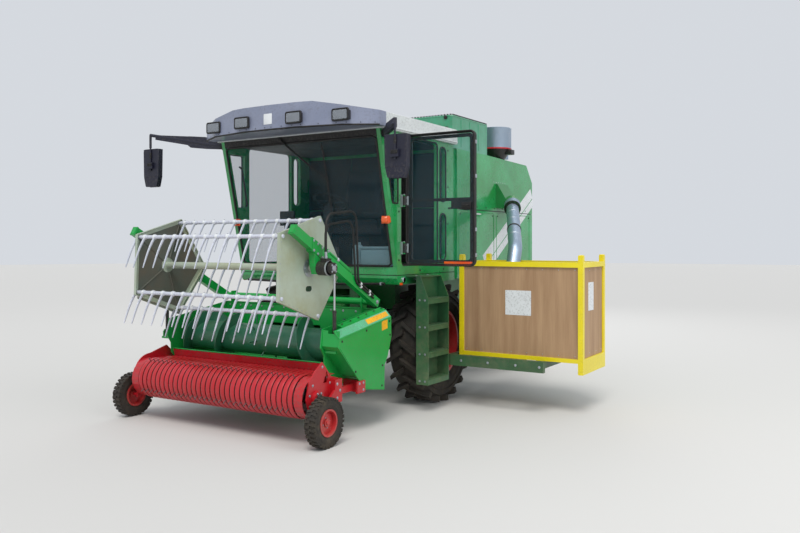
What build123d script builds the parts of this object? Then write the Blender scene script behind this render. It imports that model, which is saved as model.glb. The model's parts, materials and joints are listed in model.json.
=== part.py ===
"""Compact plot combine with a pick-up header, tined reel, cab, grain tank and side crate."""

import os
from math import cos, hypot, pi, radians, sin, sqrt

from build123d import *

os.makedirs("parts", exist_ok=True)

# All sizes are in millimetres. The ground is Z = 0, the front axle stands over Y = 0, the
# front of the machine faces -Y and its left side is +X. Sizes that belong together are
# worked out from a few driving ones.

# Widths: half widths of the body and of the header between its end plates
BODY_X = 1000.0
HEADER_HALF = 950.0

# Clearances and sheet
RUNNING_FIT = 0.3
MOVING_GAP = 6.0
SHEET = 8.0
PANEL = 20.0
GLASS = 6.0

# Wheels
FRONT_TYRE_RADIUS = 630.0
FRONT_TYRE_WIDTH = 360.0
FRONT_RIM_RADIUS = 335.0
FRONT_WHEEL_X = BODY_X - 75
FRONT_LUGS = 20
FRONT_SHAFT = 48.0
REAR_AXLE_Y = 2500.0
REAR_TYRE_RADIUS = 400.0
REAR_TYRE_WIDTH = 260.0
REAR_RIM_RADIUS = 205.0
REAR_WHEEL_X = BODY_X - 200
REAR_LUGS = 18
REAR_SHAFT = 34.0
KINGPIN_X = REAR_WHEEL_X - 240
KINGPIN_RADIUS = 24.0
KINGPIN_BOSS = 52.0
GAUGE_RADIUS = 210.0
GAUGE_WIDTH = 100.0
GAUGE_RIM_RADIUS = 108.0
GAUGE_X = HEADER_HALF + 225
GAUGE_LUGS = 30
GAUGE_SHAFT = 15.0
BEAD_SHARE = 0.82
FLANGE_SHARE = 1.055
RIM_SHEET = 7.0

# Chassis
AXLE_Z = FRONT_TYRE_RADIUS
AXLE_HALF = BODY_X - 360
AXLE_BOX = 85.0
RAIL_X = 400.0
RAIL_WIDTH = 100.0
RAIL_HEIGHT = 130.0
RAIL_BOTTOM = AXLE_Z + 200
RAIL_TOP = RAIL_BOTTOM + RAIL_HEIGHT
RAIL_FRONT = -760.0
RAIL_REAR = REAR_AXLE_Y + 180
PORTAL = 90.0
HITCH_WIDTH = 120.0
HITCH_REACH = 130.0
HITCH_PLATE = 22.0
HITCH_BORE = 16.0

# Cab
CAB_X = BODY_X + 30
CAB_WALL = 46.0
CAB_REAR = 350.0
CAB_HEIGHT = 1330.0
SILL_HEIGHT = 170.0
SILL_BOTTOM = RAIL_TOP + 320
SILL_TOP = SILL_BOTTOM + SILL_HEIGHT
CAB_HEAD = SILL_TOP + CAB_HEIGHT
ROOF_RISE = 250.0
ROOF_TOP = CAB_HEAD + ROOF_RISE
SCREEN_FOOT_Y = -844.0
SCREEN_RAKE = 0.23
SCREEN_HEAD_Y = SCREEN_FOOT_Y - SCREEN_RAKE * CAB_HEIGHT
HEAD_RAIL = 60.0
DOOR_WIDTH = 775.0
DOOR_HINGE_X = CAB_X + 42
DOOR_HINGE_Y = SCREEN_FOOT_Y + 64
DOOR_REAR_Y = DOOR_HINGE_Y + DOOR_WIDTH
DOOR_BOTTOM = SILL_TOP + 18
DOOR_TOP = CAB_HEAD - 28
DOOR_INSET = 20.0
DOOR_MARGIN = 20.0
DOOR_EDGE = 14.0
DOOR_BAND = 32.0
DOOR_DEPTH = 34.0
DOOR_BAR_Z = DOOR_BOTTOM + 622
DOOR_HINGES = (DOOR_BOTTOM + 172, DOOR_BOTTOM + 637)
HINGE_PIN = 9.0
HINGE_HALF = 60.0

# Body, grain tank and casing
BODY_FRONT = CAB_REAR + 117
BODY_REAR = REAR_AXLE_Y + 160
BODY_TOP = CAB_HEAD - 30
BODY_BOTTOM = SILL_BOTTOM + 10
DECK_TOP = BODY_TOP - 70
DECK_REAR = BODY_REAR - 200
SEAM_Z = BODY_BOTTOM + 780
CASING_X = BODY_X - 380
CASING_CREST = BODY_TOP - 850
CASING_KNEE = 1340.0
CASING_SLOPE = 0.228
HOOD_X = BODY_X - 220
HOOD_REAR = BODY_REAR + 540
HOOD_SHEET = 16.0
TANK_X = BODY_X - 50
TANK_FRONT = CAB_REAR + 10
TANK_LENGTH = 890.0
TANK_REAR = TANK_FRONT + TANK_LENGTH
TANK_RISE = 360.0
TANK_TOP = BODY_TOP + TANK_RISE
TANK_WALL = 14.0
CYCLONE_X = BODY_X - 120
CYCLONE_Y = 1750.0
CYCLONE_RADIUS = 170.0

# Header: pick-up, feed auger and trough
PICKUP_Z = GAUGE_RADIUS + 180
AUGER_Y = -1620.0
AUGER_Z = PICKUP_Z + 370
AUGER_TUBE = 145.0
AUGER_FLIGHT = 248.0
AUGER_PITCH = 430.0
AUGER_SHAFT = 30.0
TROUGH_GAP = 18.0
TROUGH_BACK = AUGER_Y + 480
PICKUP_Y = AUGER_Y - 530
GAUGE_Y = PICKUP_Y - 50
BAND_RADIUS = 180.0
BAND_COUNT = 32
BAND_PITCH = 2 * (HEADER_HALF - MOVING_GAP) / BAND_COUNT
BAND_GAP = 15.0
BAND_SHEET = 4.0
TINE_TIP = 226.0
ROTOR_SHAFT = 24.0
END_PLATE = 12.0
BOX_X = HEADER_HALF + 200
SIDE_PLATE_X = HEADER_HALF + 90
HEADER_PIVOT_Y = RAIL_FRONT + 380
HEADER_PIVOT_Z = RAIL_TOP + 90
HEADER_PIN = 32.0
FEEDER_X = 330.0
FEEDER_SHEET = 12.0

# Reel
REEL_RADIUS = 440.0
REEL_HALF = HEADER_HALF - 67
REEL_Y = AUGER_Y - 417
REEL_Z = AUGER_Z + AUGER_FLIGHT + REEL_RADIUS + 27
REEL_PLATE = 8.0
REEL_TUBE = 32.0
PLATE_RADIUS = REEL_RADIUS + 42
BAT_RADIUS = 17.0
BAT_ANGLES = (70.0, 142.0, 214.0, 286.0, 358.0)
TINES_PER_BAT = 13
CRANK_PIN = 10.0
ECCENTRIC_Y = 52.0
ECCENTRIC_Z = -48.0
BOSS_RADIUS = 104.0
SHAFT_RADIUS = 26.0
ARM_X = REEL_HALF + 87
ARM_HALF = 30.0
ARM_HEIGHT = 80.0
ARM_TUBE = 32.0
ARM_PIVOT_Y = TROUGH_BACK - 10
ARM_PIVOT_Z = AUGER_Z + 370
ARM_FRONT_Y = REEL_Y - 318
ARM_FRONT_Z = REEL_Z + 325

# Lift cylinders: half spacing, base and rod eye of each pair
PIN = 12.0
PIN_SLACK = 2.4
LIFT_X = 520.0
LIFT_BASE = (-120.0, AXLE_Z - 10)
LIFT_EYE = (TROUGH_BACK - 25, AUGER_Z - 290)
REEL_LIFT_X = HEADER_HALF + 95
REEL_LIFT_BASE = (AUGER_Y - 270, AUGER_Z + 40)
REEL_LIFT_EYE = (AUGER_Y - 270, REEL_Z + 5)

# Ladder, crate and its carrier
LADDER_IN = FRONT_WHEEL_X + FRONT_TYRE_WIDTH / 2 + 45
LADDER_OUT = LADDER_IN + 136
LADDER_FRONT = DOOR_HINGE_Y + 100
LADDER_REAR = LADDER_FRONT + 430
LADDER_FOOT = 290.0
LADDER_SHEET = 12.0
CRATE_INNER_X = BODY_X + 280
CRATE_OUTER_X = CRATE_INNER_X + 1340
CRATE_FRONT_Y = DOOR_REAR_Y - 3
CRATE_REAR_Y = CRATE_FRONT_Y + 698
CRATE_FLOOR = 560.0
CRATE_TOP = CRATE_FLOOR + 940
CRATE_POST = 50.0
CRATE_FEET = 150.0
PLYWOOD = 18.0


def box_between(x0, x1, y0, y1, z0, z1, mode=Mode.ADD):
    """Add a box given by its two corners on every axis."""
    with Locations(((x0 + x1) / 2, (y0 + y1) / 2, (z0 + z1) / 2)):
        Box(x1 - x0, y1 - y0, z1 - z0, mode=mode)


def side_slab(outline, x0, x1, mode=Mode.ADD):
    """Extrude a closed outline of (y, z) points from x0 to x1."""
    with BuildSketch(Plane.YZ.offset(x0)) as section:
        with BuildLine():
            Polyline(*outline, close=True)
        make_face()
    extrude(section.sketch, amount=x1 - x0, mode=mode)


def front_slab(outline, y0, y1, mode=Mode.ADD):
    """Extrude a closed outline of (x, z) points from y0 back to y1."""
    with BuildSketch(Plane.XZ.offset(-y1)) as section:
        with BuildLine():
            Polyline(*outline, close=True)
        make_face()
    extrude(section.sketch, amount=y1 - y0, mode=mode)


def plan_slab(outline, z0, z1, mode=Mode.ADD):
    """Extrude a closed outline of (x, y) points from z0 up to z1."""
    with BuildSketch(Plane.XY.offset(z0)) as section:
        with BuildLine():
            Polyline(*outline, close=True)
        make_face()
    extrude(section.sketch, amount=z1 - z0, mode=mode)


def disc(x0, x1, y, z, radius, mode=Mode.ADD):
    """Add a round disc or shaft about a crosswise line, from x0 to x1."""
    with BuildSketch(Plane.YZ.offset(x0)) as section:
        with Locations((y, z)):
            Circle(radius)
    extrude(section.sketch, amount=x1 - x0, mode=mode)


def rod(start, end, radius, mode=Mode.ADD):
    """Add a round bar between two points."""
    run = Vector(*end) - Vector(*start)
    with BuildSketch(Plane(origin=start, z_dir=run)) as section:
        Circle(radius)
    extrude(section.sketch, amount=run.length, mode=mode)


def beam(start, end, width, height, mode=Mode.ADD):
    """Add a square-edged bar between two points; its width lies across the machine."""
    run = Vector(*end) - Vector(*start)
    across = (1, 0, 0) if abs(run.X) < 0.99 * run.length else (0, 1, 0)
    side = Vector(*across) - run * (Vector(*across).dot(run) / run.length**2)
    with BuildSketch(Plane(origin=start, x_dir=side, z_dir=run)) as section:
        Rectangle(width, height)
    extrude(section.sketch, amount=run.length, mode=mode)


def side_window(x0, x1, y0, y1, z0, z1, radius, mode=Mode.SUBTRACT):
    """Cut or add a round-cornered rectangle seen from the side, from x0 to x1."""
    with BuildSketch(Plane.YZ.offset(x0)) as section:
        with Locations(((y0 + y1) / 2, (z0 + z1) / 2)):
            RectangleRounded(y1 - y0, z1 - z0, radius)
    extrude(section.sketch, amount=x1 - x0, mode=mode)


def front_window(x0, x1, y0, y1, z0, z1, radius, mode=Mode.ADD):
    """Add or cut a round-cornered rectangle seen from the front, from y0 back to y1."""
    with BuildSketch(Plane.XZ.offset(-y1)) as section:
        with Locations(((x0 + x1) / 2, (z0 + z1) / 2)):
            RectangleRounded(x1 - x0, z1 - z0, radius)
    extrude(section.sketch, amount=y1 - y0, mode=mode)


def both(side, near, far):
    """Return a span of X on one side of the machine, lowest first."""
    return tuple(sorted((side * near, side * far)))


def strip(points, thickness):
    """Return the closed outline of a folded sheet that follows points on its left side."""
    normals = []
    for (y0, z0), (y1, z1) in zip(points, points[1:]):
        length = hypot(y1 - y0, z1 - z0)
        normals.append((-(z1 - z0) / length, (y1 - y0) / length))
    shifted = []
    for index, (y, z) in enumerate(points):
        before = normals[max(index - 1, 0)]
        after = normals[min(index, len(normals) - 1)]
        share = 1 + before[0] * after[0] + before[1] * after[1]
        shifted.append((
            y + thickness * (before[0] + after[0]) / share,
            z + thickness * (before[1] + after[1]) / share,
        ))
    return list(points) + shifted[::-1]


def polar(y, z, radius, angle):
    """Return the (y, z) point at an angle counted from +Y towards +Z."""
    return (y + radius * cos(radians(angle)), z + radius * sin(radians(angle)))


def ring_section(profile, x, y, z, mode=Mode.ADD):
    """Revolve a closed profile of (offset along X, radius) points about a crosswise line."""
    with BuildSketch(Plane(origin=(x, y, z), x_dir=(1, 0, 0), z_dir=(0, -1, 0))) as section:
        with BuildLine():
            Polyline(*profile, close=True)
        make_face()
    revolve(section.sketch, axis=Axis((x, y, z), (1, 0, 0)), mode=mode)


def lug_planes(x, y, z, radius, count, phase):
    """Return planes that face outwards, evenly spaced round a wheel."""
    planes = []
    for index in range(count):
        angle = 2 * pi * (index + phase) / count - pi / 2
        out = (0, cos(angle), sin(angle))
        origin = (x, y + radius * out[1], z + radius * out[2])
        planes.append(Plane(origin=origin, x_dir=(1, 0, 0), z_dir=out))
    return planes


def lugged_tyre(x, y, z, radius, width, rim_radius, lugs, lug_height, lug_width, sweep_back):
    """Add a tyre whose slanting bars meet in a herringbone, tips at the full radius."""
    half = width / 2
    seat = half * BEAD_SHARE
    bead = rim_radius * FLANGE_SHARE
    carcass = radius - lug_height
    ring_section(
        [
            (-seat, rim_radius), (-seat, bead),
            (-half, rim_radius + (carcass - rim_radius) * 0.42),
            (-half * 0.94, carcass - (carcass - rim_radius) * 0.14),
            (-half * 0.6, carcass),
            (half * 0.6, carcass),
            (half * 0.94, carcass - (carcass - rim_radius) * 0.14),
            (half, rim_radius + (carcass - rim_radius) * 0.42),
            (seat, bead), (seat, rim_radius),
        ],
        x, y, z,
    )
    reach = (sweep_back + lug_width) / 2
    tip = sqrt(radius**2 - reach**2)
    foot = carcass - (carcass - rim_radius) * 0.1
    for side, phase in ((1, 0.0), (-1, 0.5)):
        inner = -side * half * 0.08
        outer = side * half * 0.97
        low = -reach
        high = low + sweep_back
        with BuildSketch(*lug_planes(x, y, z, foot, lugs, phase)) as bars:
            with BuildLine():
                Polyline(
                    (inner, high), (inner, high + lug_width),
                    (outer, low + lug_width), (outer, low),
                    close=True,
                )
            make_face()
        extrude(bars.sketch, amount=tip - foot)


def dished_rim(x, y, z, radius, width, hub_radius, bore, side, dish):
    """Add a rim with a dished disc and a bored hub; side is +1 where +X is outwards."""
    seat = width / 2 * BEAD_SHARE
    lip = seat + RIM_SHEET
    crown = radius * FLANGE_SHARE
    base = radius - RIM_SHEET * 1.4
    ring_section(
        [
            (-lip, base), (-lip, crown), (-seat, crown), (-seat, radius),
            (seat, radius), (seat, crown), (lip, crown), (lip, base),
        ],
        x, y, z,
    )
    flat = dish * side
    back = flat - side * dish * 0.8
    thick = RIM_SHEET * side
    ring_section(
        [
            (flat, bore), (flat, hub_radius * 1.5), (back, base + 1),
            (back + thick, base + 1), (flat + thick, hub_radius * 1.5),
            (flat + thick, bore),
        ],
        x, y, z,
    )
    ring_section(
        [
            (flat - side * seat * 0.35, bore), (flat - side * seat * 0.35, hub_radius),
            (flat + thick * 3, hub_radius), (flat + thick * 3, bore),
        ],
        x, y, z,
    )


# Chassis rails, front portal, front axle, hangers of the rear axle and the towing plate
REAR_PIVOT_Z = REAR_TYRE_RADIUS + 120
with BuildPart() as chassis:
    for side in (-1, 1):
        rail = both(side, RAIL_X, RAIL_X + RAIL_WIDTH)
        box_between(*rail, RAIL_FRONT, RAIL_REAR, RAIL_BOTTOM, RAIL_TOP)
        side_slab(
            [(-130, RAIL_BOTTOM), (-AXLE_BOX, AXLE_Z - 70), (AXLE_BOX, AXLE_Z - 70),
             (130, RAIL_BOTTOM)],
            *rail,
        )
        box_between(*rail, RAIL_FRONT, RAIL_FRONT + PORTAL, RAIL_TOP, SILL_BOTTOM)
    box_between(-RAIL_X, RAIL_X, RAIL_FRONT, RAIL_FRONT + PORTAL, SILL_BOTTOM - 65, SILL_BOTTOM)
    for y in (BODY_FRONT + 713, BODY_FRONT + 1433, RAIL_REAR - 60):
        box_between(-RAIL_X, RAIL_X, y - 40, y + 40, RAIL_BOTTOM + 20, RAIL_TOP - 20)
    box_between(
        -AXLE_HALF, AXLE_HALF, -AXLE_BOX, AXLE_BOX, AXLE_Z - AXLE_BOX, AXLE_Z + AXLE_BOX
    )
    for side in (-1, 1):
        shoulder = FRONT_WHEEL_X - 120
        disc(*both(side, AXLE_HALF, shoulder), 0, AXLE_Z, 110)
        disc(*both(side, shoulder, FRONT_WHEEL_X + 70), 0, AXLE_Z, FRONT_SHAFT)
        for lug in (-1, 1):
            cheek = both(side, LIFT_X + lug * 34 - 7, LIFT_X + lug * 34 + 7)
            base_y, base_z = LIFT_BASE
            side_slab(
                [(-AXLE_BOX, base_z - 60), (-AXLE_BOX, base_z + 60), (base_y - 10, base_z + 40),
                 (base_y - 30, base_z), (base_y - 10, base_z - 35)],
                *cheek,
            )
            disc(*cheek, base_y, base_z, PIN + RUNNING_FIT, mode=Mode.SUBTRACT)
        ear = both(side, RAIL_X - MOVING_GAP, RAIL_X + 30)
        side_slab(
            [
                (HEADER_PIVOT_Y - 110, RAIL_TOP - 30), (HEADER_PIVOT_Y - 55, HEADER_PIVOT_Z + 45),
                (HEADER_PIVOT_Y + 55, HEADER_PIVOT_Z + 45), (HEADER_PIVOT_Y + 110, RAIL_TOP - 30),
            ],
            *ear,
        )
        disc(*ear, HEADER_PIVOT_Y, HEADER_PIVOT_Z, HEADER_PIN + RUNNING_FIT,
             mode=Mode.SUBTRACT)
    for y in (REAR_AXLE_Y - 110, REAR_AXLE_Y + 80):
        front_slab(
            [
                (-RAIL_X, RAIL_TOP - 30), (-RAIL_X, RAIL_BOTTOM + 20), (-90, REAR_PIVOT_Z - 50),
                (90, REAR_PIVOT_Z - 50), (RAIL_X, RAIL_BOTTOM + 20), (RAIL_X, RAIL_TOP - 30),
            ],
            y, y + 30,
        )
    box_between(
        -HITCH_WIDTH / 2, HITCH_WIDTH / 2, RAIL_REAR - 20, RAIL_REAR + HITCH_REACH,
        RAIL_BOTTOM + 20, RAIL_BOTTOM + 20 + HITCH_PLATE,
    )
    rod(
        (0, RAIL_REAR + HITCH_REACH - 45, RAIL_BOTTOM),
        (0, RAIL_REAR + HITCH_REACH - 45, RAIL_BOTTOM + 60), HITCH_BORE,
        mode=Mode.SUBTRACT,
    )
chassis.part.label = "chassis"
export_step(chassis.part, "parts/chassis.step")

# Rear axle beam with a bored boss at each end for the king pin
with BuildPart() as rear_axle:
    box_between(
        -KINGPIN_X + 40, KINGPIN_X - 40, REAR_AXLE_Y - 60, REAR_AXLE_Y + 60,
        REAR_TYRE_RADIUS - 60, REAR_TYRE_RADIUS + 60,
    )
    rod((0, REAR_AXLE_Y - 80, REAR_PIVOT_Z), (0, REAR_AXLE_Y + 80, REAR_PIVOT_Z), 40)
    box_between(
        -70, 70, REAR_AXLE_Y - 60, REAR_AXLE_Y + 60, REAR_TYRE_RADIUS + 40, REAR_PIVOT_Z
    )
    for side in (-1, 1):
        rod(
            (side * KINGPIN_X, REAR_AXLE_Y, REAR_TYRE_RADIUS - 65),
            (side * KINGPIN_X, REAR_AXLE_Y, REAR_TYRE_RADIUS + 65), KINGPIN_BOSS,
        )
        rod(
            (side * KINGPIN_X, REAR_AXLE_Y, REAR_TYRE_RADIUS - 100),
            (side * KINGPIN_X, REAR_AXLE_Y, REAR_TYRE_RADIUS + 100),
            KINGPIN_RADIUS + RUNNING_FIT, mode=Mode.SUBTRACT,
        )
rear_axle.part.label = "rear_axle"
export_step(rear_axle.part, "parts/rear_axle.step")


def steering_knuckle(side):
    """Add a yoke round the axle's boss, its king pin, steering arm and stub shaft."""
    x = side * KINGPIN_X
    low = REAR_TYRE_RADIUS - 100
    high = REAR_TYRE_RADIUS + 100
    for z0, z1 in ((low, low + 29), (high - 29, high)):
        rod((x, REAR_AXLE_Y, z0), (x, REAR_AXLE_Y, z1), 46)
        box_between(
            *both(side, KINGPIN_X + 20, KINGPIN_X + 82), REAR_AXLE_Y - 40, REAR_AXLE_Y + 40,
            z0, z1,
        )
    rod((x, REAR_AXLE_Y, low), (x, REAR_AXLE_Y, high), KINGPIN_RADIUS)
    box_between(
        *both(side, KINGPIN_X + 62, KINGPIN_X + 86), REAR_AXLE_Y - 50, REAR_AXLE_Y + 50,
        low, high,
    )
    disc(
        *both(side, KINGPIN_X + 80, REAR_WHEEL_X + 62), REAR_AXLE_Y, REAR_TYRE_RADIUS,
        REAR_SHAFT,
    )
    box_between(
        *both(side, KINGPIN_X - 15, KINGPIN_X + 15), REAR_AXLE_Y + 30, REAR_AXLE_Y + 150,
        low, low + 22,
    )


with BuildPart() as knuckle_left:
    steering_knuckle(1)
knuckle_left.part.label = "knuckle_left"
export_step(knuckle_left.part, "parts/knuckle_left.step")

with BuildPart() as knuckle_right:
    steering_knuckle(-1)
knuckle_right.part.label = "knuckle_right"
export_step(knuckle_right.part, "parts/knuckle_right.step")

# Wheels: name, centre x, y, radius, width, rim radius, lugs, lug height, lug width,
# sweep of the lugs, hub radius, shaft radius, dish
WHEELS = (
    ("front", FRONT_WHEEL_X, 0.0, FRONT_TYRE_RADIUS, FRONT_TYRE_WIDTH, FRONT_RIM_RADIUS,
     FRONT_LUGS, 42.0, 46.0, 120.0, 100.0, FRONT_SHAFT, 30.0),
    ("rear", REAR_WHEEL_X, REAR_AXLE_Y, REAR_TYRE_RADIUS, REAR_TYRE_WIDTH,
     REAR_RIM_RADIUS, REAR_LUGS, 26.0, 32.0, 80.0, 66.0, REAR_SHAFT, 26.0),
    ("gauge", GAUGE_X, GAUGE_Y, GAUGE_RADIUS, GAUGE_WIDTH, GAUGE_RIM_RADIUS,
     GAUGE_LUGS, 8.0, 20.0, 8.0, 34.0, GAUGE_SHAFT, 10.0),
)

for name, x, y, radius, width, rim, lugs, lug_h, lug_w, sweep_l, hub, shaft, dish in WHEELS:
    for side, word in ((1, "left"), (-1, "right")):
        with BuildPart() as tyre:
            lugged_tyre(side * x, y, radius, radius, width, rim, lugs, lug_h, lug_w, sweep_l)
        tyre.part.label = f"{name}_tyre_{word}"
        export_step(tyre.part, f"parts/{name}_tyre_{word}.step")
        with BuildPart() as wheel_rim:
            dished_rim(
                side * x, y, radius, rim, width, hub, shaft + RUNNING_FIT, side, dish
            )
        wheel_rim.part.label = f"{name}_rim_{word}"
        export_step(wheel_rim.part, f"parts/{name}_rim_{word}.step")


def casing_top(y):
    """Return the height of the casing's rising rear cover at a station y."""
    return CASING_CREST + CASING_SLOPE * (y - CASING_KNEE)


# Threshing and cleaning casing between the rails, with cross bars that carry the panels
CASING_REAR = BODY_REAR - 50
BAR_Z = CASING_CREST - 400
with BuildPart() as separator:
    side_slab(
        [
            (-230, RAIL_TOP + 20), (-230, SILL_BOTTOM - 30), (CAB_REAR, SILL_BOTTOM - 10),
            (BODY_FRONT - 67, CASING_CREST), (CASING_KNEE, CASING_CREST),
            (CASING_REAR, casing_top(CASING_REAR)), (CASING_REAR, RAIL_TOP + 220),
            (CASING_KNEE + 160, RAIL_TOP), (-60, RAIL_TOP),
        ],
        -CASING_X, CASING_X,
    )
    for y in (BODY_FRONT + 93, CASING_REAR - 310):
        box_between(-BODY_X + PANEL, BODY_X - PANEL, y, y + 80, BAR_Z, BAR_Z + 60)
separator.part.label = "separator"
export_step(separator.part, "parts/separator.step")

ENGINE_FRONT = CASING_KNEE + 110
ENGINE_REAR = ENGINE_FRONT + 700
ENGINE_TOP = DECK_TOP - 120
with BuildPart() as engine:
    side_slab(
        [
            (ENGINE_FRONT, casing_top(ENGINE_FRONT)), (ENGINE_FRONT, ENGINE_TOP),
            (ENGINE_REAR, ENGINE_TOP), (ENGINE_REAR, casing_top(ENGINE_REAR)),
        ],
        -380, 380,
    )
engine.part.label = "engine"
export_step(engine.part, "parts/engine.step")

# Outer panels: two sides with a pressed seam and a recessed front strip, the deck behind the
# tank and the rear wall above the hood; the right side has the engine's air slots
SIDE_OUTLINE = [
    (BODY_FRONT, BODY_BOTTOM), (BODY_FRONT, BODY_TOP), (TANK_REAR, BODY_TOP),
    (DECK_REAR, BODY_TOP - 25), (BODY_REAR, DECK_TOP - 180), (BODY_REAR, BODY_BOTTOM + 110),
    (BODY_REAR - 310, BODY_BOTTOM - 60), (BODY_FRONT + 433, BODY_BOTTOM - 60),
    (BODY_FRONT + 293, BODY_BOTTOM),
]
SLOT_COUNT = 9
SLOT_PITCH = 60.0
with BuildPart() as body_panels:
    for side in (-1, 1):
        side_slab(SIDE_OUTLINE, *both(side, BODY_X - PANEL, BODY_X))
        box_between(
            *both(side, BODY_X - 2 * PANEL, BODY_X - PANEL), CAB_REAR + 50, BODY_FRONT + 20,
            BODY_BOTTOM, BODY_TOP,
        )
        box_between(
            *both(side, BODY_X - 4, BODY_X), BODY_FRONT, BODY_REAR, SEAM_Z, SEAM_Z + 8,
            mode=Mode.SUBTRACT,
        )
    box_between(
        -BODY_X + PANEL, BODY_X - PANEL, TANK_REAR, DECK_REAR, DECK_TOP - PANEL, DECK_TOP
    )
    side_slab(
        [
            (DECK_REAR, DECK_TOP - PANEL), (DECK_REAR, DECK_TOP), (BODY_REAR, DECK_TOP - 190),
            (BODY_REAR, RAIL_TOP + 220), (BODY_REAR - PANEL, RAIL_TOP + 220),
            (BODY_REAR - PANEL, DECK_TOP - 205),
        ],
        -BODY_X + PANEL, BODY_X - PANEL,
    )
    slot_planes = Plane.YZ.offset(-BODY_X)
    with BuildSketch(slot_planes) as air_slots:
        with Locations((ENGINE_FRONT + 350, SEAM_Z + 330)):
            with GridLocations(SLOT_PITCH, 1, SLOT_COUNT, 1):
                SlotOverall(300, 26, rotation=90)
    extrude(air_slots.sketch, amount=PANEL, mode=Mode.SUBTRACT)
body_panels.part.label = "body_panels"
export_step(body_panels.part, "parts/body_panels.step")

# Straw hood: an open-bottomed cover behind the rear wall
HOOD_TOP = CASING_CREST + 360
HOOD_FOOT = RAIL_TOP + 120
HOOD_OUTLINE = [
    (BODY_REAR, HOOD_TOP), (HOOD_REAR - 220, HOOD_TOP - 180), (HOOD_REAR, HOOD_TOP - 560),
    (HOOD_REAR - 60, HOOD_FOOT), (BODY_REAR, HOOD_FOOT + 100),
]
HOOD_HOLLOW = [
    (BODY_REAR - 10, HOOD_TOP - HOOD_SHEET), (HOOD_REAR - 230, HOOD_TOP - 180 - HOOD_SHEET),
    (HOOD_REAR - HOOD_SHEET, HOOD_TOP - 564), (HOOD_REAR - 60 - HOOD_SHEET, HOOD_FOOT - 20),
    (BODY_REAR - 10, HOOD_FOOT - 20),
]
with BuildPart() as rear_hood:
    side_slab(HOOD_OUTLINE, -HOOD_X, HOOD_X)
    side_slab(HOOD_HOLLOW, -HOOD_X + HOOD_SHEET, HOOD_X - HOOD_SHEET, mode=Mode.SUBTRACT)
rear_hood.part.label = "rear_hood"
export_step(rear_hood.part, "parts/rear_hood.step")

# Grain tank: a hopper between the panels and a collar that stands on their top edges
HOPPER_Z = CASING_CREST + 300
with BuildPart() as grain_tank:
    side_slab(
        [
            (TANK_FRONT, HOPPER_Z), (TANK_FRONT, BODY_TOP + TANK_WALL),
            (TANK_REAR, BODY_TOP + TANK_WALL), (TANK_REAR, HOPPER_Z),
            (TANK_REAR - 300, CASING_CREST), (TANK_FRONT + 300, CASING_CREST),
        ],
        -TANK_X, TANK_X,
    )
    box_between(-BODY_X, BODY_X, TANK_FRONT, TANK_REAR, BODY_TOP, TANK_TOP)
    side_slab(
        [
            (TANK_FRONT + TANK_WALL, HOPPER_Z), (TANK_FRONT + TANK_WALL, TANK_TOP + 10),
            (TANK_REAR - TANK_WALL, TANK_TOP + 10), (TANK_REAR - TANK_WALL, HOPPER_Z),
            (TANK_REAR - 310, CASING_CREST + 20), (TANK_FRONT + 310, CASING_CREST + 20),
        ],
        -TANK_X + TANK_WALL, TANK_X - TANK_WALL, mode=Mode.SUBTRACT,
    )
    box_between(
        -BODY_X + TANK_WALL, BODY_X - TANK_WALL, TANK_FRONT + TANK_WALL,
        TANK_REAR - TANK_WALL, BODY_TOP + TANK_WALL, TANK_TOP + 10, mode=Mode.SUBTRACT,
    )
grain_tank.part.label = "grain_tank"
export_step(grain_tank.part, "parts/grain_tank.step")

# Seed cyclone: funnel, drum with two rings and a small outlet box, standing on the deck
DRUM_FOOT = DECK_TOP + 190
DRUM_TOP = DECK_TOP + 460
with BuildPart() as cyclone:
    with BuildSketch(
        Plane(origin=(CYCLONE_X, CYCLONE_Y, 0), x_dir=(1, 0, 0), z_dir=(0, -1, 0))
    ) as drum:
        with BuildLine():
            Polyline(
                (0, DECK_TOP), (60, DECK_TOP), (60, DECK_TOP + 50),
                (CYCLONE_RADIUS - 6, DRUM_FOOT), (CYCLONE_RADIUS + 6, DRUM_FOOT),
                (CYCLONE_RADIUS + 6, DRUM_FOOT + 22), (CYCLONE_RADIUS, DRUM_FOOT + 22),
                (CYCLONE_RADIUS, DRUM_TOP - 44), (CYCLONE_RADIUS + 8, DRUM_TOP - 44),
                (CYCLONE_RADIUS + 8, DRUM_TOP - 22), (CYCLONE_RADIUS, DRUM_TOP - 22),
                (CYCLONE_RADIUS, DRUM_TOP), (0, DRUM_TOP + 10),
                close=True,
            )
        make_face()
    revolve(drum.sketch, axis=Axis((CYCLONE_X, CYCLONE_Y, 0), (0, 0, 1)))
    box_between(
        CYCLONE_X - 60, CYCLONE_X + 60, CYCLONE_Y + 60, CYCLONE_Y + 260, DRUM_FOOT - 100,
        DRUM_FOOT - 10,
    )
cyclone.part.label = "cyclone"
export_step(cyclone.part, "parts/cyclone.step")

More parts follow.
